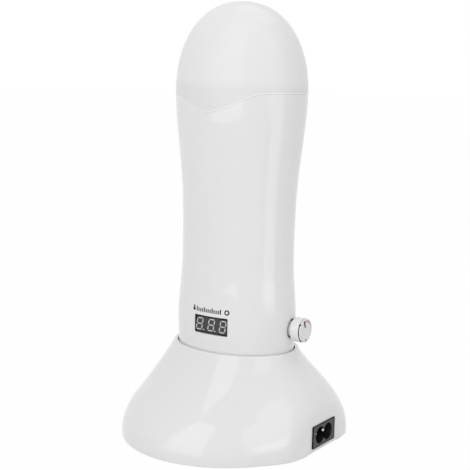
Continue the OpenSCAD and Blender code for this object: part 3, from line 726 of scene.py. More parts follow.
def opening(surface, form, outline, outer, inner, wall, fillet, spread=4):
    """Closes a hole in a walled shell with a rounded edge and a straight reveal.

    form(u, v, inset) gives a point of the skin and outline(grow) the hole's edge as (u, v) pairs.
    Rings run from the outer block's edge to the outline grown by the fillet, turn in by a quarter
    circle, go through the wall and run on to the inner block's edge.
    """
    def ring(pairs, inset):
        return form(pairs[:, 0], pairs[:, 1], inset)

    edge, reveal = outline(fillet), outline(0.0)
    rings = [outer[1]]
    rings += [ring(mix(outer[0], edge, share), 0.0) for share in np.linspace(0, 1, spread + 1)[1:]]
    rings += [ring(outline(fillet * (1 - math.sin(t))), fillet * (1 - math.cos(t)))
              for t in arc(6)[1:]]
    rings += [ring(reveal, depth) for depth in np.linspace(fillet, wall, 4)[1:]]
    rings += [ring(mix(reveal, inner[0], 0.5), wall), inner[1]]
    surface.grid(np.stack(rings))


def corners(node, radius):
    """Places of four like discs that fill the corners of a node's box."""
    low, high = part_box(node)
    return [(x, y) for x in (low.x + radius, high.x - radius)
            for y in (low.y + radius, high.y - radius)]


class HandleOperator(bpy.types.Operator):
    """Builds the handle's waisted oval shell with its window and knob hole"""
    bl_idname = "wax_heater.handle"
    bl_label = "Handle shell"
    split = 0.090  # height from which the rings follow the joint
    plain_lines = ((0.042, 0.0565), (0.0755, split))  # heights beside the two openings
    window_margin, dial_margin = 0.002, 0.0019  # from an opening to the block around it
    spare = 0.012  # least angle from a block to the next column
    closest = 0.00004  # least distance between rings

    def execute(self, context):
        s = heater()
        form, front, wall = HandleForm(s), s.front, s.handle.wall
        low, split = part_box("body_shell")[0].z, self.split

        # Lines of the two blocks that are left open: the window's, and the dial's along tangents
        half = np.array([front.window_width, front.window_height]) / 2
        corner, reach = front.window_corner, half + self.window_margin
        across = side_lines(half[0], corner, 10) * reach[0]
        up = DISPLAY_Z + side_lines(half[1], corner, 6) * reach[1]
        round_lines = np.tan(arc(13, -45, 45)) * (front.knob_hole + self.dial_margin)
        dial_up = KNOB_Z + round_lines

        # Columns start at the back; both openings lie within one turn from there
        window_cols = TURN - np.arccos(across / form.half_width(DISPLAY_Z))
        dial_cols = TURN + np.arcsin((KNOB_Y + round_lines) / (form.half_width(KNOB_Z) / form.oval))
        plain = np.radians(np.arange(90, 450, 2.25))
        for cols in (window_cols, dial_cols):
            plain = plain[(plain < cols[0] - self.spare) | (plain > cols[-1] + self.spare)]
        t = np.sort(np.concatenate([plain, window_cols, dial_cols]))
        lines = np.concatenate([up, dial_up] + [np.linspace(*ends, 9) for ends in self.plain_lines])
        z = np.unique(np.round(lines, 6))
        z = z[np.concatenate([[True], np.diff(z) > self.closest])]

        edge, foot, top = 0.00012, 0.0003, form.joint(t)
        shares = np.linspace(0, 1, 58)[1:, None]

        def side(inset):
            return rows(form.skin(low + foot, t, inset), form.skin(z[:, None], t, inset),
                        form.skin(mix(split, top - edge, shares), t, inset))

        def level(height, inset):
            return form.skin(height + 0 * t, t, inset)

        def place(lines, target):
            return int(np.abs(lines - target).argmin())

        outer, inner = side(0.0), side(wall)
        blocks = [(place(z, ups[0]) + 1, place(z, ups[-1]) + 1,
                   place(t, cols[0]), place(t, cols[-1]))
                  for cols, ups in ((window_cols, up), (dial_cols, dial_up))]
        surface = Surface()
        surface.grid(outer, holes=blocks).grid(inner, flip=True, holes=blocks)
        surface.grid(rows(turned_edge(outer[-1], level(top, 0), level(top, edge)),
                          turned_edge(level(top, wall - edge), level(top, wall), inner[-1])))
        surface.grid(rows(turned_edge(inner[0], level(low, wall), level(low, wall - foot)),
                          turned_edge(level(low, foot), level(low, 0), outer[0])))

        def loops(block, axis):
            """The block's edge on both skins: as pairs of the axis and height, and as points."""
            edges = [block_loop(grid, *block) for grid in (outer, inner)]
            return [(loop[:, [axis, 2]], loop) for loop in edges]

        window, dial = np.array([0.0, DISPLAY_Z]), np.array([KNOB_Y, KNOB_Z])
        both = loops(blocks[0], 0)
        unit = (both[0][0] - window) / reach
        unit = unit / np.abs(unit).max(axis=1, keepdims=True)
        opening(surface, form.front,
                lambda grow: window + rounded_rectangle(unit, *half, corner, grow),
                *both, wall, fillet=0.0003)
        both = loops(blocks[1], 1)
        ray = both[0][0] - dial
        opening(surface, form.side, lambda grow: dial + round_loop(ray, front.knob_hole + grow),
                *both, wall, fillet=0.00015)
        dress(surface.piece("handle_shell"), "handle", "white_gloss", ["body_shell"])
        return {"FINISHED"}


class BaseOperator(bpy.types.Operator):
    """Builds the flared docking base with its rim, socket and inlet face"""
    bl_idname = "wax_heater.base"
    bl_label = "Base shell"
    pin_bore = 0.0019
    post_bore, post_radius, post_foot = 0.0016, 0.004, 0.003

    def execute(self, context):
        s = heater()
        form, size = BaseForm(s), s.base
        t = ring_angles(320)
        low, top, wall = size.lift, size.rim_height, size.wall
        lip, edge, fine = 0.0009, 0.0005, 0.0004
        cavity, under = form.floor + form.cup_rise, form.floor - form.floor_wall

        def level(z, inset=0.0):
            return form.skin(z + 0 * t, t, inset)

        def oval(grow, z):
            return form.oval(grow, z + 0 * t, t)

        z = np.concatenate([np.linspace(low + lip, size.bend_height, 16),
                            np.linspace(size.bend_height, top - fine, 34)[1:]])
        inner_z = np.linspace(cavity, low + edge, 30)
        shell = Surface()
        shell.grid(rows(
            form.skin(z[:, None], t),
            turned_edge(level(top - fine), oval(size.rim_width, top),
                        oval(size.rim_width - edge, top)),
            turned(oval, (0, top), (edge, 0), (0, -edge)),
            turned(oval, (0, form.floor), (0, edge), (-edge, 0)),
            to_centre(oval(-edge, form.floor), 6)))
        underside = oval(form.cup_wall, under)
        shell.grid(rows(
            to_centre(underside, 4)[::-1], underside, oval(form.cup_wall, cavity),
            form.skin(inner_z[:, None], t, wall),
            turned(level, (low, wall), (edge, 0), (0, -edge)),
            turned(level, (low, 0), (0, lip), (lip, 0))))
        body = shell.piece("base_shell_skin")

        # Holes for the inlet and for the two docking pins
        half = np.array([s.front.inlet_hole_width, s.front.inlet_hole_height]) / 2
        unit = square_loop(*(side_lines(side, fine, 4) for side in half))

        def across(x):
            return lambda p: stack(x, p[:, 0], INLET_Z + p[:, 1])

        hole = prism(rounded_rectangle(unit, *half, fine), across(size.facet - 2 * wall),
                     across(size.facet + wall))
        cutters = [Surface().grid(hole).piece("cutter")]
        radius, foot, head = self.pin_bore, under - MM, form.floor + MM
        bore = [(0, foot), (radius, foot), (radius, head), (0, head)]
        for x in (-s.front.dock_pitch / 2, s.front.dock_pitch / 2):
            cutters.append(Surface().grid(lathe(bore, (x, 0, 0), "Z", 48)).piece("cutter"))
        dress(cut_away(body, cutters), "base", "white_gloss", ["base_shell"])

        post_top, bevel = under + MM, 0.0002
        profile = [(self.post_bore, post_top), (self.post_bore, self.post_foot),
                   (self.post_radius - bevel, self.post_foot),
                   (self.post_radius, self.post_foot + bevel), (self.post_radius, post_top),
                   (self.post_bore, post_top)]
        posts = Surface()
        for x, y in corners("bottom_screws", SCREW_HEAD):
            posts.grid(lathe(profile, (x, y, 0), "Z", 48))
        dress(posts.piece("base_posts"), "base", "white_gloss")
        return {"FINISHED"}


class FeetOperator(bpy.types.Operator):
    """Builds the four rubber feet as discs with rounded soles"""
    bl_idname = "wax_heater.feet"
    bl_label = "Rubber feet"

    def execute(self, context):
        (low, high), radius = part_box("rubber_feet"), FOOT_PAD
        hollow, edge = 0.0002, 0.0006
        profile = np.concatenate([[(0, low.z + hollow), (radius * 0.55, low.z + hollow),
                                   (radius * 0.62, low.z)],
                                  bend_profile((radius - edge, low.z + edge), -90, 0, edge),
                                  [(radius, high.z), (0, high.z)]])
        surface = Surface()
        for x, y in corners("rubber_feet", radius):
            surface.grid(lathe(profile, (x, y, 0), "Z", 64))
        dress(surface.piece("rubber_pads"), "base", "rubber_grey", ["rubber_feet"])
        return {"FINISHED"}


def screw_head(radius, height, sides=48, rings=22):
    """Pan head seen from its drive side, with a cross recess.

    Height over the disc: a dome that falls with the square of the radius, less a cross whose arms
    are smooth steps of the distance to each centre line. The head's top looks towards +Z.
    """
    share = np.linspace(1, 0, rings)[:, None]
    t = ring_angles(sides)
    u, v = radius * share * np.cos(t), radius * share * np.sin(t)
    arm, half = radius * 0.62, radius * 0.14
    bar = np.minimum(np.abs(u), np.abs(v))
    reach = np.maximum(np.abs(u), np.abs(v))
    cross = ease((half * 1.5 - bar) / half) * ease((arm - reach) / (radius * 0.2) + 0.5)
    top = height * (1 - 0.3 * share ** 2) - height * 0.62 * cross
    skirt = stack(radius * np.cos(t), radius * np.sin(t), 0.0)
    return rows(skirt, stack(u, v, top))


class ScrewOperator(bpy.types.Operator):
    """Builds the pan-head screws with their cross recesses"""
    bl_idname = "wax_heater.screws"
    bl_label = "Screws"

    def execute(self, context):
        # Name, body, node, radius and height of the head, and whether there are four or two
        for name, body, node, radius, height, four in (
                ("bottom_screw_set", "base", "bottom_screws", SCREW_HEAD, 0.0012, True),
                ("cap_screw_set", "handle", "cap_screws", SCREW_HEAD, 0.0012, False),
                ("carrier_screw_set", "base", "carrier_screws", SCREW_HEAD, 0.0012, False),
                ("board_screw_set", "handle", "board_screws", SMALL_HEAD, 0.001, False)):
            low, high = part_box(node)
            middle_y, middle_z = (low.y + high.y) / 2, (low.z + high.z) / 2
            down = node != "board_screws"
            span = (high.z - low.z if down else high.y - low.y) - height
            stem, point = radius * 0.52, 0.0008
            head = screw_head(radius, height)
            shaft = lathe([(radius, 0), (stem, 0), (stem, point - span), (0, -span)],
                          (0, 0, 0), "Z", 48)
            pair = [(low.x + radius, middle_y), (high.x - radius, middle_y)]
            surface = Surface()
            for x, y in corners(node, radius) if four else pair:
                for part, flip in ((head, False), (shaft, True)):
                    u, v, w = np.moveaxis(part, -1, 0)
                    placed = (stack(x + u, y - v, low.z + height - w) if down
                              else stack(x + u, low.y + height - w, middle_z + v))
                    surface.grid(placed, flip=flip)
            dress(surface.piece(name), body, "steel", [node])
        return {"FINISHED"}


def figure_eight(unit, offset, lobe, half_waist, grow=0.0):
    """Outline of two circles beside each other, joined by a waist.

    On a ray at some angle from the level the far side of a circle lies at
    offset cos(angle) + sqrt(lobe^2 - (offset sin(angle))^2), and the waist at its half height over
    sin(angle), which holds for rays steeper than the place where the two meet.
    """
    ray = np.arctan2(np.abs(unit[:, 1]) * 0.6, np.abs(unit[:, 0]))
    meet = np.arctan2(half_waist, offset - math.sqrt(lobe ** 2 - half_waist ** 2))
    across = np.sqrt(np.maximum(lobe ** 2 - (offset * np.sin(ray)) ** 2, 0))
    radius = np.where(ray > meet, half_waist / np.maximum(np.sin(ray), 1e-9),
                      offset * np.cos(ray) + across)
    point = radius[:, None] * np.stack([np.cos(ray), np.sin(ray)], axis=-1) * np.sign(unit + 1e-15)
    return point * (1 + grow / np.maximum(radius, 1e-9))[:, None]


class InletOperator(bpy.types.Operator):
    """Builds the appliance inlet: flanged housing with a figure-eight cavity, and its two pins"""
    bl_idname = "wax_heater.inlet"
    bl_label = "Inlet"

    def execute(self, context):
        s = heater()
        half = np.array([INLET_HIGH.y - INLET_LOW.y, INLET_HIGH.z - INLET_LOW.z]) / 2
        behind, flange_corner, trunk_corner = half - np.array([0.0022, 0.0009]), 0.0005, 0.0012
        front, back, facet = INLET_HIGH.x, INLET_LOW.x, s.base.facet
        floor, edge, fine, lip = front - s.front.socket_depth, 0.0002, 0.0001, 0.00025
        border, panel, waist = 0.0007, front - 0.00015, 0.0027
        unit = square_loop(side_lines(1.0, 0.04, 24), side_lines(1.0, 0.08, 14))

        def plane(pairs, x):
            return stack(x, INLET_Y + pairs[:, 0], INLET_Z + pairs[:, 1])

        def flange(grow, x):
            return plane(rounded_rectangle(unit, *half, flange_corner, grow), x)

        def trunk(grow, x):
            return plane(rounded_rectangle(unit, *behind, trunk_corner, grow), x)

        def cavity(grow, x):
            outline = figure_eight(unit, s.front.pin_pitch / 2, s.front.lobe, waist, grow)
            return plane(outline, x)

        inner, mouth = flange(-border - fine, panel), cavity(lip, panel)
        housing = Surface().grid(rows(
            to_centre(trunk(-2 * edge, back), 2)[::-1],
            turned(trunk, (0, back), (-2 * edge, 0), (0, 2 * edge)),
            trunk(0, facet),
            turned(flange, (0, facet), (-fine, 0), (0, fine), 2),
            turned(flange, (0, front), (0, -edge), (-edge, 0)),
            flange(-border, front), inner,
            np.stack([mix(inner, mouth, share) for share in np.linspace(0, 1, 5)[1:-1]]),
            turned(cavity, (0, panel), (lip, 0), (0, -lip)),
            cavity(0, mix(front, floor, 0.5)), cavity(0, floor + edge),
            cavity(-edge, floor), to_centre(cavity(-edge, floor), 2)))
        dress(housing.piece("inlet_body"), "base", "black_plastic", ["inlet_housing"])

        # Darker border of the flange, which also wraps its sides: painted shade of the gap round the
        # flange
        skin, inside = 2 * INK, 0.0003
        painted_edge_shade = [flange(*place) for place in (
            (skin, facet), (skin, front - fine), (-fine, front - INK / 2), (-border, front),
            (-border, front - fine), (-inside, front - inside), (-inside, facet), (skin, facet))]
        dress(Surface().grid(np.stack(painted_edge_shade)).piece("inlet_flange_painted_shade"), "base", "black_plastic",
              look="seal_and_painted_shade_black")

        pins = Surface()
        radius, tail, step = s.front.pin_radius, 0.0009, 0.048
        profile = np.concatenate([
            [(0, PINS_LOW.x), (tail - fine, PINS_LOW.x), (tail, PINS_LOW.x + fine), (tail, step),
             (radius, step)],
            bend_profile((0, PINS_HIGH.x - radius), 0, 90, radius, 12)])
        for side in (-1, 1):
            place = (0, INLET_Y + side * s.front.pin_pitch / 2, INLET_Z)
            pins.grid(lathe(profile, place, "X", 48))
        dress(pins.piece("inlet_pin_pair"), "base", "steel", ["inlet_pins"])
        return {"FINISHED"}


class DockOperator(bpy.types.Operator):
    """Builds the two sprung docking pins with domed tips"""
    bl_idname = "wax_heater.dock"
    bl_label = "Docking pins"

    def execute(self, context):
        for side in ("left", "right"):
            low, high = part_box(f"contact_pin_{side}")
            x, collar = (low.x + high.x) / 2, (high.x - low.x) / 2
            tip, stem, edge = collar - MM, 0.0009, 0.0002
            foot, head = 0.0311, 0.0327
            profile = np.concatenate([
                [(0, low.z), (stem - edge, low.z), (stem, low.z + edge), (stem, foot),
                 (collar - edge, foot), (collar, foot + edge), (collar, head - edge),
                 (collar - edge, head), (tip, head)],
                bend_profile((0, high.z - tip), 0, 90, tip, 12)])
            surface = Surface().grid(lathe(profile, (x, 0, 0), "Z", 48))
            dress(surface.piece(f"docking_pin_{side}_skin"), f"docking_pin_{side}", "brass",
                  [f"contact_pin_{side}"])
        return {"FINISHED"}


class SpringOperator(bpy.types.Operator):
    """Builds the springs under the docking pins"""
    bl_idname = "wax_heater.springs"
    bl_label = "Docking springs"
    wire = 0.0003  # radius
    turns = 4
    travel = 0.0015  # of a docking pin

    def execute(self, context):
        """A circle of the wire's radius, carried square to a helix. At angle u its middle is
        (R cos u, R sin u, p u)."""
        for side in ("left", "right"):
            low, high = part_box(f"contact_spring_{side}")
            middle, radius = (low.x + high.x) / 2, (high.x - low.x) / 2 - self.wire
            pitch = (high.z - low.z - 2 * self.wire) / (TURN * self.turns)
            u = np.linspace(0, TURN * self.turns, 24 * self.turns + 1)[:, None]
            v, slope = ring_angles(12), math.hypot(radius, pitch)
            out, along = self.wire * np.cos(v), self.wire * np.sin(v) / slope
            coil = stack(middle + (radius + out) * np.cos(u) - along * pitch * np.sin(u),
                         (radius + out) * np.sin(u) + along * pitch * np.cos(u),
                         low.z + self.wire + pitch * u - along * radius)
            surface = Surface().grid(rows(to_centre(coil[0], 1), coil, to_centre(coil[-1], 1)))
            piece = dress(surface.piece(f"docking_spring_{side}"), "base", "steel",
                          [f"contact_spring_{side}"])
            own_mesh(piece)
        return {"FINISHED"}


class LidOperator(bpy.types.Operator):
    """Builds the milky lid, a dome whose lower edge follows the joint"""
    bl_idname = "wax_heater.lid"
    bl_label = "Lid"
    bar_rise = 0.0036  # from the joint up to the thumb bar

    def execute(self, context):
        s = heater()
        form, wall, edge = HandleForm(s), s.handle.wall, 0.0002
        t = ring_angles(256)
        foot = form.joint(t) + s.handle.lid_gap * 0.2
        share = np.sin(np.linspace(0, np.pi / 2, 64))[:, None]

        def level(rise, inset):
            return form.lid(foot + rise, t, inset)

        outer = form.lid(mix(foot + edge, s.handle.top, share), t)
        inner = form.lid(mix(foot + edge, s.handle.top - wall, share), t, wall)
        surface = Surface().grid(rows(
            inner[::-1], turned_edge(inner[0], level(0, wall), level(0, wall - edge)),
            turned_edge(level(0, edge), level(0, 0), outer[0]), outer))
        dress(surface.piece("lid_dome"), "lid", "lid_milky", ["lid"])

        # Rim bead: a bead of under a millimetre, proud at its foot and dying out upwards, lighter
        # than the lid: a painted highlight line
        bead = [level(rise * MM, inset * MM) for rise, inset in (
            (0.02, 0.4), (0.02, -0.03), (0.04, -0.06), (0.1, -0.09), (0.25, -0.08), (0.45, -0.04),
            (0.62, -0.01), (0.67, 0.05), (0.67, 0.4), (0.02, 0.4))]
        dress(Surface().grid(np.stack(bead)).piece("lid_rim_bead"), "lid", "lid_milky",
              look="rim_painted_highlight")

        # Thumb bar above the joint's dip: a low pad whose rise is (1 - x^4)(1 - z^4)
        half_w, half_h, tall, sink = 3.4 * MM, 0.6 * MM, 0.32 * MM, 2 * INK
        sag, under = 0.4 * MM, 0.3 * MM
        u, v = np.meshgrid(np.linspace(-1, 1, 41), np.linspace(-1, 1, 17))
        rise = tall * (1 - u ** 4) * (1 - v ** 4) - sink
        height = form.joint(np.array([-math.pi / 2]))[0] + self.bar_rise
        x, z = half_w * u, height + half_h * v + sag * u ** 2
        pad = Surface().grid(form.front(x, z, -rise)[::-1], wrap=False)
        pad.grid(form.front(x, z, under + 0 * u), wrap=False)
        every = slice(None)
        for side in ((every, 0), (every, -1), (0, every), (-1, every)):
            line = [form.front(x[side], z[side], depth) for depth in (-rise[side], under)]
            pad.grid(np.stack(line), wrap=False)
        dress(pad.piece("lid_thumb_bar"), "lid", "lid_milky")
        return {"FINISHED"}


class WellOperator(bpy.types.Operator):
    """Builds what the lid covers: the neck collar, the well's seal and the heating sleeve"""
    bl_idname = "wax_heater.well"
    bl_label = "Collar and well"

    def execute(self, context):
        s = heater()
        form, t = HandleForm(s), ring_angles(192)
        collar, seal, sleeve = (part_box(n) for n in ("neck_collar", "well_seal", "heating_sleeve"))
        gap, thick = 0.0003, 0.0016
        outside = s.handle.wall + gap
        inside = outside + thick
        deck, (under, over) = s.handle.split_height, (seal[0].z, seal[1].z)
        mouth, edge, fine = -0.0007, 0.0005, 0.0003

        def wall(z, inset):
            return form.lid(z + 0 * t, t, inset)

        def oval(grow, z):
            return stack((sleeve[1].x + grow) * np.cos(t), (sleeve[1].y + grow) * np.sin(t), z)

        foot, top = collar[0].z, collar[1].z
        height = np.linspace(foot, top - edge, 12)[:, None]
        surface = Surface().grid(rows(
            form.lid(height, t, outside),
            turned(wall, (top, outside), (-edge, 0), (0, edge)),
            turned(wall, (top, inside), (0, -edge), (-edge, 0)),
            turned(wall, (deck, inside), (MM, 0), (0, MM)),
            turned(oval, (mouth, deck), (edge, 0), (0, -edge)),
            oval(mouth, over), wall(over, inside), wall(foot, inside), wall(foot, outside)))
        dress(surface.piece("collar_skin"), "handle", "plain_white", ["neck_collar"])

        surface = Surface().grid(rows(
            oval(0, under), oval(0, over), turned(oval, (mouth, over), (fine, 0), (0, -fine), 3),
            oval(mouth, under), oval(0, under)))
        dress(surface.piece("well_seal_ring"), "handle", "silicone", ["well_seal"])

        low, high, bore = sleeve[0].z, sleeve[1].z, -0.0015
        floor, cove = low - bore, 0.003
        surface = Surface().grid(rows(
            to_centre(oval(-MM, low), 3)[::-1],
            turned(oval, (0, low), (-MM, 0), (0, MM)),
            turned(oval, (0, high), (0, -fine), (-fine, 0), 3),
            turned(oval, (bore, high), (fine, 0), (0, -fine), 3),
            turned(oval, (bore, floor), (0, cove), (-cove, 0)),
            to_centre(oval(bore - cove, floor), 4)))
        dress(surface.piece("sleeve_cup"), "handle", "aluminium", ["heating_sleeve"])
        return {"FINISHED"}


class KnobOperator(bpy.types.Operator):
    """Builds the temperature knob with its groove line of painted shade, its gasket, which also
    paints the shade in the hole's gap, its disc, pointer and printed marks
    """
    bl_idname = "wax_heater.knob"
    bl_label = "Knob"

    def execute(self, context):
        s = heater()
        grip, face, back = (KNOB_HIGH.z - KNOB_LOW.z) / 2, KNOB_HIGH.x, KNOB_LOW.x
        rim, neck, bore, deep = grip - 0.3 * MM, 4.4 * MM, 3.05 * MM, face - 2 * MM
        flare, groove, band = face - 7.7 * MM, face - 1.45 * MM, face - 0.8 * MM
        pocket, floor, trench = rim - 0.5 * MM, face - 0.4 * MM, rim - 0.8 * MM
        edge, soft, crisp, fine = 0.3 * MM, 0.35 * MM, 0.15 * MM, 0.06 * MM

        def turn(profile, sides=128):
            return Surface().grid(lathe(profile, (0, KNOB_Y, KNOB_Z), "X", sides))

        t = arc(12)
        curve = np.stack([mix(neck, grip, np.sin(t)), flare + 2 * MM * (1 - np.cos(t))], axis=-1)
        profile = np.concatenate([
            [(0, deep), (bore, deep), (bore, back), (neck - edge, back), (neck, back + edge)],
            curve,
            bend_profile((grip - soft, groove - soft), 0, 90, soft),
            [(trench, groove), (trench, band)],
            bend_profile((rim - crisp, band + crisp), -90, 0, crisp, 4),
            bend_profile((rim - edge, face - edge), 0, 90, edge),
            bend_profile((pocket + fine, face - fine), 90, 180, fine, 4),
            [(pocket, floor), (0, floor)]])
        dress(turn(profile).piece("knob_grip", 30), "dial", "white_gloss", ["knob"])

        # Black line of painted shade in the groove, on its -Y side from start to end with a blob at
        # each: its outer radius is sunk under the groove's floor elsewhere, eased up along the line
        # and raised by two bells
        lean, start, end = ring_angles(256), math.radians(51), math.radians(146)
        bells = sum(np.exp(-((lean - middle) / 0.12) ** 2) for middle in (start, end))
        shown = ease((lean - start) / 0.07 + 1) * ease((end - lean) / 0.07 + 1)
        blob = 0.65 * MM * bells
        outer = rim - 0.95 * MM + 0.55 * MM * shown + blob
        inner, far = rim - 1.1 * MM + 0 * lean, band + blob
        ring = [stack(x, KNOB_Y - r * np.sin(lean), KNOB_Z + r * np.cos(lean)) for r, x in (
            (inner, groove), (outer, groove), (outer, far), (inner, far), (inner, groove))]
        dress(Surface().grid(np.stack(ring)).piece("knob_groove_painted_shade"), "dial", "pointer_black",
              look="seal_and_painted_shade_black")

        # Black gasket behind the knob's hole: a seal that also paints the shade in the gap round the
        # knob
        wall, hole = HandleForm(s).half_width(KNOB_Z) - s.handle.wall, s.front.knob_hole
        inside, outside = neck + 0.2 * MM, hole + 1.2 * MM
        gasket = [(inside, wall - 1.2 * MM), (outside, wall - 1.2 * MM), (outside, wall - 0.4 * MM),
                  (hole - 0.1 * MM, wall - 0.2 * MM), (inside, wall - 0.2 * MM)]
        dress(turn(gasket + gasket[:1], 96).piece("knob_gasket_and_gap_shade"), "handle", "rubber_grey",
              look="seal_and_painted_shade_black")

        disc_low, disc_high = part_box("knob_disc")
        radius, edge = (disc_high.z - disc_low.z) / 2, 0.1 * MM
        disc = np.concatenate([[(0, floor), (radius, floor)],
                               bend_profile((radius - edge, face - edge), 0, 90, edge, 4),
                               [(radius * 0.6, face), (0, face)]])
        dress(turn(disc).piece("knob_disc_skin"), "dial", "disc_grey", ["knob_disc"])

        unit = square_loop(side_lines(1.0, 0.5, 1), side_lines(1.0, 0.12, 3))

        def bar(degrees, reach, half, corner, tall, taper):
            """A bar on the face, turned by degrees from straight up, whose outer end lies at reach
            from the middle; its top is smaller by the taper."""
            half, sink = np.array(half), 0.05 * MM
            shape = rounded_rectangle(unit, *half, corner)
            side, out = math.cos(math.radians(degrees)), math.sin(math.radians(degrees))

            def level(grow, x):
                flat = shape * (1 + grow / half)
                across, along = flat[:, 0], flat[:, 1] + reach - half[1]
                return stack(x, KNOB_Y + across * side - along * out,
                             KNOB_Z + across * out + along * side)

            base, shoulder, top = (level(0, face - sink), level(0, face + tall - taper),
                                   level(-taper, face + tall))
            return Surface().grid(rows(to_centre(base, 1), base, shoulder, top, to_centre(top, 1)))

        pointer = bar(degrees=24, reach=6.35 * MM, half=(0.45 * MM, 2.1 * MM), corner=0.2 * MM,
                      tall=0.2 * MM, taper=0.05 * MM)
        dress(pointer.piece("knob_pointer_bar"), "dial", "pointer_black", ["knob_pointer"])
        index = bar(degrees=182, reach=6.2 * MM, half=(0.4 * MM, 0.8 * MM), corner=0.1 * MM,
                    tall=0.06 * MM, taper=0)
        dress(index.piece("knob_index_line"), "dial", "pointer_black", look="mark_grey")

        # Temperature arc printed on the disc: it keeps its width at first and narrows from there
        sweep, share = np.radians(np.linspace(104, -10, 60)), np.linspace(0, 1, 60)
        outer = radius - 0.22 * MM + 0 * share
        inner = outer - MM * (1 - ease((share - 0.3) / 0.7)) - 0.1 * MM
        under, over = face - INK, face + 1.5 * INK
        strip = [stack(x, KNOB_Y + r * np.cos(sweep), KNOB_Z + r * np.sin(sweep)) for x, r in (
            (under, outer), (over, outer), (over, inner), (under, inner), (under, outer))]
        dress(Surface().grid(np.stack(strip), wrap=False).piece("knob_heat_arc"), "dial",
              "pointer_black", look="scale_red")
        return {"FINISHED"}


def segment(centre, along, half_length, half_width):
    """Long hexagon of a display digit: a bar whose ends are points; along is its direction."""
    long, wide = np.array(along, float), np.array([-along[1], along[0]], float)
    tip = half_length - half_width
    shape = [(half_length, 0), (tip, half_width), (-tip, half_width), (-half_length, 0),
             (-tip, -half_width), (tip, -half_width)]
    return np.array([np.array(centre) + a * long + b * wide for a, b in shape])


class DisplayOperator(bpy.types.Operator):
    """Builds the display module with three unlit seven-segment digits"""
    bl_idname = "wax_heater.display"
    bl_label = "Display"

    def execute(self, context):
        front = heater().front
        half = np.array([DISPLAY_HIGH.x - DISPLAY_LOW.x, DISPLAY_HIGH.z - DISPLAY_LOW.z]) / 2
        face, back, edge, corner = DISPLAY_LOW.y, DISPLAY_HIGH.y, 0.0003, 0.0004
        unit = square_loop(side_lines(1.0, 0.08, 6), side_lines(1.0, 0.1, 3))

        def ring(grow, y):
            flat = rounded_rectangle(unit, *half, corner, grow)
            return stack(flat[:, 0], y, DISPLAY_Z + flat[:, 1])

        surface = Surface().grid(rows(
            to_centre(ring(0, back), 1), ring(0, back),
            turned(ring, (0, face), (0, edge), (-edge, 0)), to_centre(ring(-edge, face), 3)))
        dress(surface.piece("display_block"), "handle", "display_dark", ["display_module"])

        slant = math.tan(front.digit_slant)
        tall, wide, bar = front.digit_height / 2, front.digit_width / 2, 0.00033

        def on_face(depth):
            """Leans flat points with the digits and lays them on the face at that depth over it."""
            return lambda p: stack(p[:, 0] + p[:, 1] * slant, face - depth, DISPLAY_Z + p[:, 1])

        # Two bars on each side and three across, by place and half length
        length, upright = wide - bar * 1.5, tall / 2 - bar * 1.5
        bars = [((0, level * (tall - bar)), (1.0, 0.0), length) for level in (-1, 0, 1)]
        bars += [((side * (wide - bar), level * (tall - bar) / 2), (0.0, 1.0), upright)
                 for side in (-1, 1) for level in (-1, 1)]
        t, dot, dot_gap, dot_rise = ring_angles(24), 0.0004, 0.0009, 0.0003
        digits = Surface()
        for place in (-1, 0, 1):
            middle = place * front.digit_pitch
            outlines = [segment((middle + x, z), way, long, bar) for (x, z), way, long in bars]
            if place < 1:
                outlines.append(np.stack([middle + wide + dot_gap + dot * np.cos(t),
                                          dot_rise - tall + dot * np.sin(t)], axis=-1))
            for outline in outlines:
                digits.grid(prism(outline, on_face(-INK), on_face(3 * INK)))
        dress(digits.piece("display_digits"), "handle", "display_dark", look="segment_grey")

        # Black border round the face, wide at the left and narrow elsewhere: the painted shadow of
        # the window's reveal on the face
        shadow_shift, width = np.array([0.00035, -0.0001]), np.array([0.00055, 0.0004])
        outer = rounded_rectangle(unit, *(half - edge), edge)
        inner = shadow_shift + unit * (half - edge - width)
        border = [stack(p[:, 0], face + depth, DISPLAY_Z + p[:, 1]) for p, depth in (
            (outer, INK), (outer, -INK), (inner, -INK), (inner, INK), (outer, INK))]
        dress(Surface().grid(np.stack(border)).piece("display_painted_reveal_shadow"), "handle", "display_dark",
              look="seal_and_painted_shade_black")
        return {"FINISHED"}


class MarkOperator(bpy.types.Operator):
    """Builds the printed mark over the display: a thermometer, a graduated line and a ring"""
    bl_idname = "wax_heater.mark"
    bl_label = "Printed mark"

    def execute(self, context):
        form, mark, t = HandleForm(heater()), Surface(), ring_angles(32)
        low, high, thick = 0.0740, 0.0767, 0.00036
        left, right = -0.0091, 0.0067  # ends of the graduated line
        stem, bulb = -0.0113, 0.0009  # place and radius of the thermometer's bulb
        ring, outer, inner = 0.0105, 0.0015, 0.0008  # place and radii of the ring
        rule, neck, tip = 0.0005, 0.0013, 0.0004  # line's width; stem's start and end
        depth = 0.0001

        def on_skin(inset):
            return lambda p: form.front(p[:, 0], p[:, 1], inset)

        def solid(outline):
            mark.grid(prism(outline, on_skin(depth), on_skin(-INK)))

        def box(x_low, x_high, z_low, z_high):
            solid(np.array([(x_low, z_low), (x_high, z_low), (x_high, z_high), (x_low, z_high)]))

        for index, x in enumerate(np.linspace(left, right, 13)):
            rise = (high - low) * (1.0 if index % 4 == 0 else 0.72)
            box(x - thick, x + thick, low, low + rise)
        box(left - thick, right + thick, low, low + rule)
        solid(np.stack([stem + bulb * np.cos(t), low + bulb + bulb * np.sin(t)], axis=-1))
        box(stem - bulb / 2, stem + bulb / 2, low + neck, high + tip)
        middle = (low + high) / 2
        mark.grid(np.stack([form.front(ring + r * np.cos(t), middle + r * np.sin(t), inset)
                            for inset, r in ((depth, outer), (-INK, outer), (-INK, inner),
                                             (depth, inner), (depth, outer))]))
        dress(mark.piece("printed_mark"), "handle", "pointer_black")
        return {"FINISHED"}


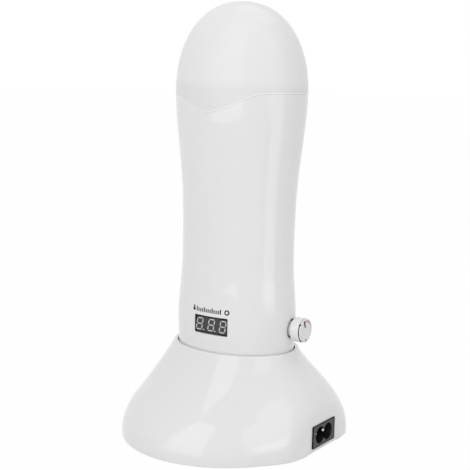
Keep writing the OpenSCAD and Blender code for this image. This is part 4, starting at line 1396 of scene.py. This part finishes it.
class FrameFinishOperator(bpy.types.Operator):
    """Gives every remaining CAD part the finish of its slot"""
    bl_idname = "wax_heater.frame_finish"
    bl_label = "Frame finishes"

    def execute(self, context):
        slots = {part["node"]: part["material_slot"] for part in frame["record"]["subparts"]}
        for name, node in frame["nodes"].items():
            if not node.data.materials:
                node.data.materials.append(None)
            for slot in node.material_slots:
                slot.material = finish(slots[name])
        return {"FINISHED"}


# ---------------------------------------------------------------- stage

class StageOperator(bpy.types.Operator):
    """Sets the floor, the world, the lamps and the camera"""
    bl_idname = "wax_heater.stage"
    bl_label = "Stage"
    world_light = 0.564

    def execute(self, context):
        scene, s = context.scene, heater().stage
        scene.view_settings.view_transform = "Standard"
        self.floor()
        self.world(scene)
        self.lamps(scene)
        self.camera(scene, s)
        return {"FINISHED"}

    def floor(self):
        """A level disc under the object, which shows nearly white where it is seen directly."""
        t = ring_angles(96)
        radius = np.array([0.0, 0.15, 0.4, 1.2, 4.0])[:, None]
        disc = stack(radius * np.cos(t), radius * np.sin(t), 0 * t - 0.05 * MM)
        plate = Surface().grid(disc[::-1]).piece("floor")
        f = Finish("floor_white", Roughness=0.9, Specular_IOR_Level=0.1)
        f.feed("Base Color", f.tint((0.80, 0.80, 0.80), (0.82, 0.82, 0.82), f.noise(0.08)))
        glow = f.node("ShaderNodeEmission", None, {"Color": WHITE, "Strength": 1.0})
        f.blend(f.seen() * 0.98, f.shader.outputs[0], glow.outputs[0], "Material Output")
        plate.data.materials.append(f.material)

    def world(self, scene):
        """A white backdrop where it is seen directly, and dimmer light from all around."""
        scene.world = bpy.data.worlds.new("studio")
        nodes = NodeTree(scene.world)
        dim = nodes.tree.nodes["Background"]
        dim.inputs["Color"].default_value = WHITE
        dim.inputs["Strength"].default_value = self.world_light
        bright = nodes.node("ShaderNodeBackground", None, {"Color": WHITE, "Strength": 1.0})
        nodes.blend(nodes.seen(), dim.outputs[0], bright.outputs[0], "World Output")

    def lamps(self, scene):
        """Three upright soft boxes and one overhead. An upright one has an azimuth and a half
        angle from the axis, a distance, a lowest and a highest edge and a radiance."""
        for name, azimuth, half, distance, low, high, radiance in (
                ("front_box", -10.5, 22.5, 0.8, 0.02, 1.9, 1.2),
                ("side_box", 70, 16, 0.85, 0.02, 1.39, 0.85),
                ("strip_box", 73.5, 12.5, 0.36, 0.03, 0.125, 1.08)):
            turn = math.radians(azimuth)
            width = 2 * distance * math.tan(math.radians(half))
            place = (distance * math.sin(turn), -distance * math.cos(turn), (low + high) / 2)
            self.soft_box(scene, name, place, (math.pi / 2, 0, turn), (width, high - low), radiance)
        self.soft_box(scene, "top_box", (0, 0.4, 1.35), (0, 0, 0), (1.0, 0.8), 1.1)

    def soft_box(self, scene, name, place, turn, size, radiance):
        """A rectangular lamp, whose power is its radiance times pi times its area."""
        data = bpy.data.lights.new(name, "AREA")
        data.shape, data.size, data.size_y = "RECTANGLE", *size
        data.energy = radiance * math.pi * size[0] * size[1]
        lamp = bpy.data.objects.new(name, data)
        lamp.location, lamp.rotation_euler = place, turn
        scene.collection.objects.link(lamp)

    def camera(self, scene, s):
        """Camera on a circle around the axis, turned slightly off it, pitched down and rolled."""
        place = Vector((s.distance * math.sin(s.azimuth), -s.distance * math.cos(s.azimuth),
                        s.height))
        yaw = s.azimuth + s.aim
        ahead = Vector((-math.sin(yaw) * math.cos(s.pitch), math.cos(yaw) * math.cos(s.pitch),
                        -math.sin(s.pitch)))
        level = Vector((math.cos(yaw), math.sin(yaw), 0))
        above = level.cross(ahead)
        right = level * math.cos(s.roll) + above * math.sin(s.roll)
        up = above * math.cos(s.roll) - level * math.sin(s.roll)
        data = bpy.data.cameras.new("camera")
        data.sensor_width, data.lens, data.clip_start = 36.0, s.lens, 0.01
        camera = bpy.data.objects.new("camera", data)
        axes = Matrix((right, up, -ahead)).transposed().to_4x4()
        camera.matrix_world = Matrix.Translation(place) @ axes
        scene.collection.objects.link(camera)
        scene.camera = camera


BUILDERS = (HandleOperator, BaseOperator, FeetOperator, ScrewOperator, InletOperator, DockOperator,
            SpringOperator, LidOperator, WellOperator, KnobOperator, DisplayOperator, MarkOperator,
            FrameFinishOperator, StageOperator)
GROUPS = (BaseSizes, HandleSizes, FrontSizes, FinishColours, StageSettings, WaxHeaterSettings)


class WaxHeaterPanel(bpy.types.Panel):
    """Lists the builders in the order in which they run"""
    bl_idname = "VIEW3D_PT_wax_heater"
    bl_label = "Roll-on Wax Heater"
    bl_space_type = "VIEW_3D"
    bl_region_type = "UI"
    bl_category = "Wax Heater"

    def draw(self, context):
        for builder in BUILDERS:
            self.layout.operator(builder.bl_idname)


def register():
    """Adds the settings, the operators and the panel."""
    for item in GROUPS + BUILDERS + (WaxHeaterPanel,):
        bpy.utils.register_class(item)
    bpy.types.Scene.wax_heater = PointerProperty(type=WaxHeaterSettings)


def unregister():
    """Takes them out again in the opposite order."""
    del bpy.types.Scene.wax_heater
    for item in reversed(GROUPS + BUILDERS + (WaxHeaterPanel,)):
        bpy.utils.unregister_class(item)


def main():
    """Registers the add-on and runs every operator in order."""
    register()
    for builder in BUILDERS:
        group, name = builder.bl_idname.split(".")
        getattr(getattr(bpy.ops, group), name)()


if __name__ == "__main__":
    main()
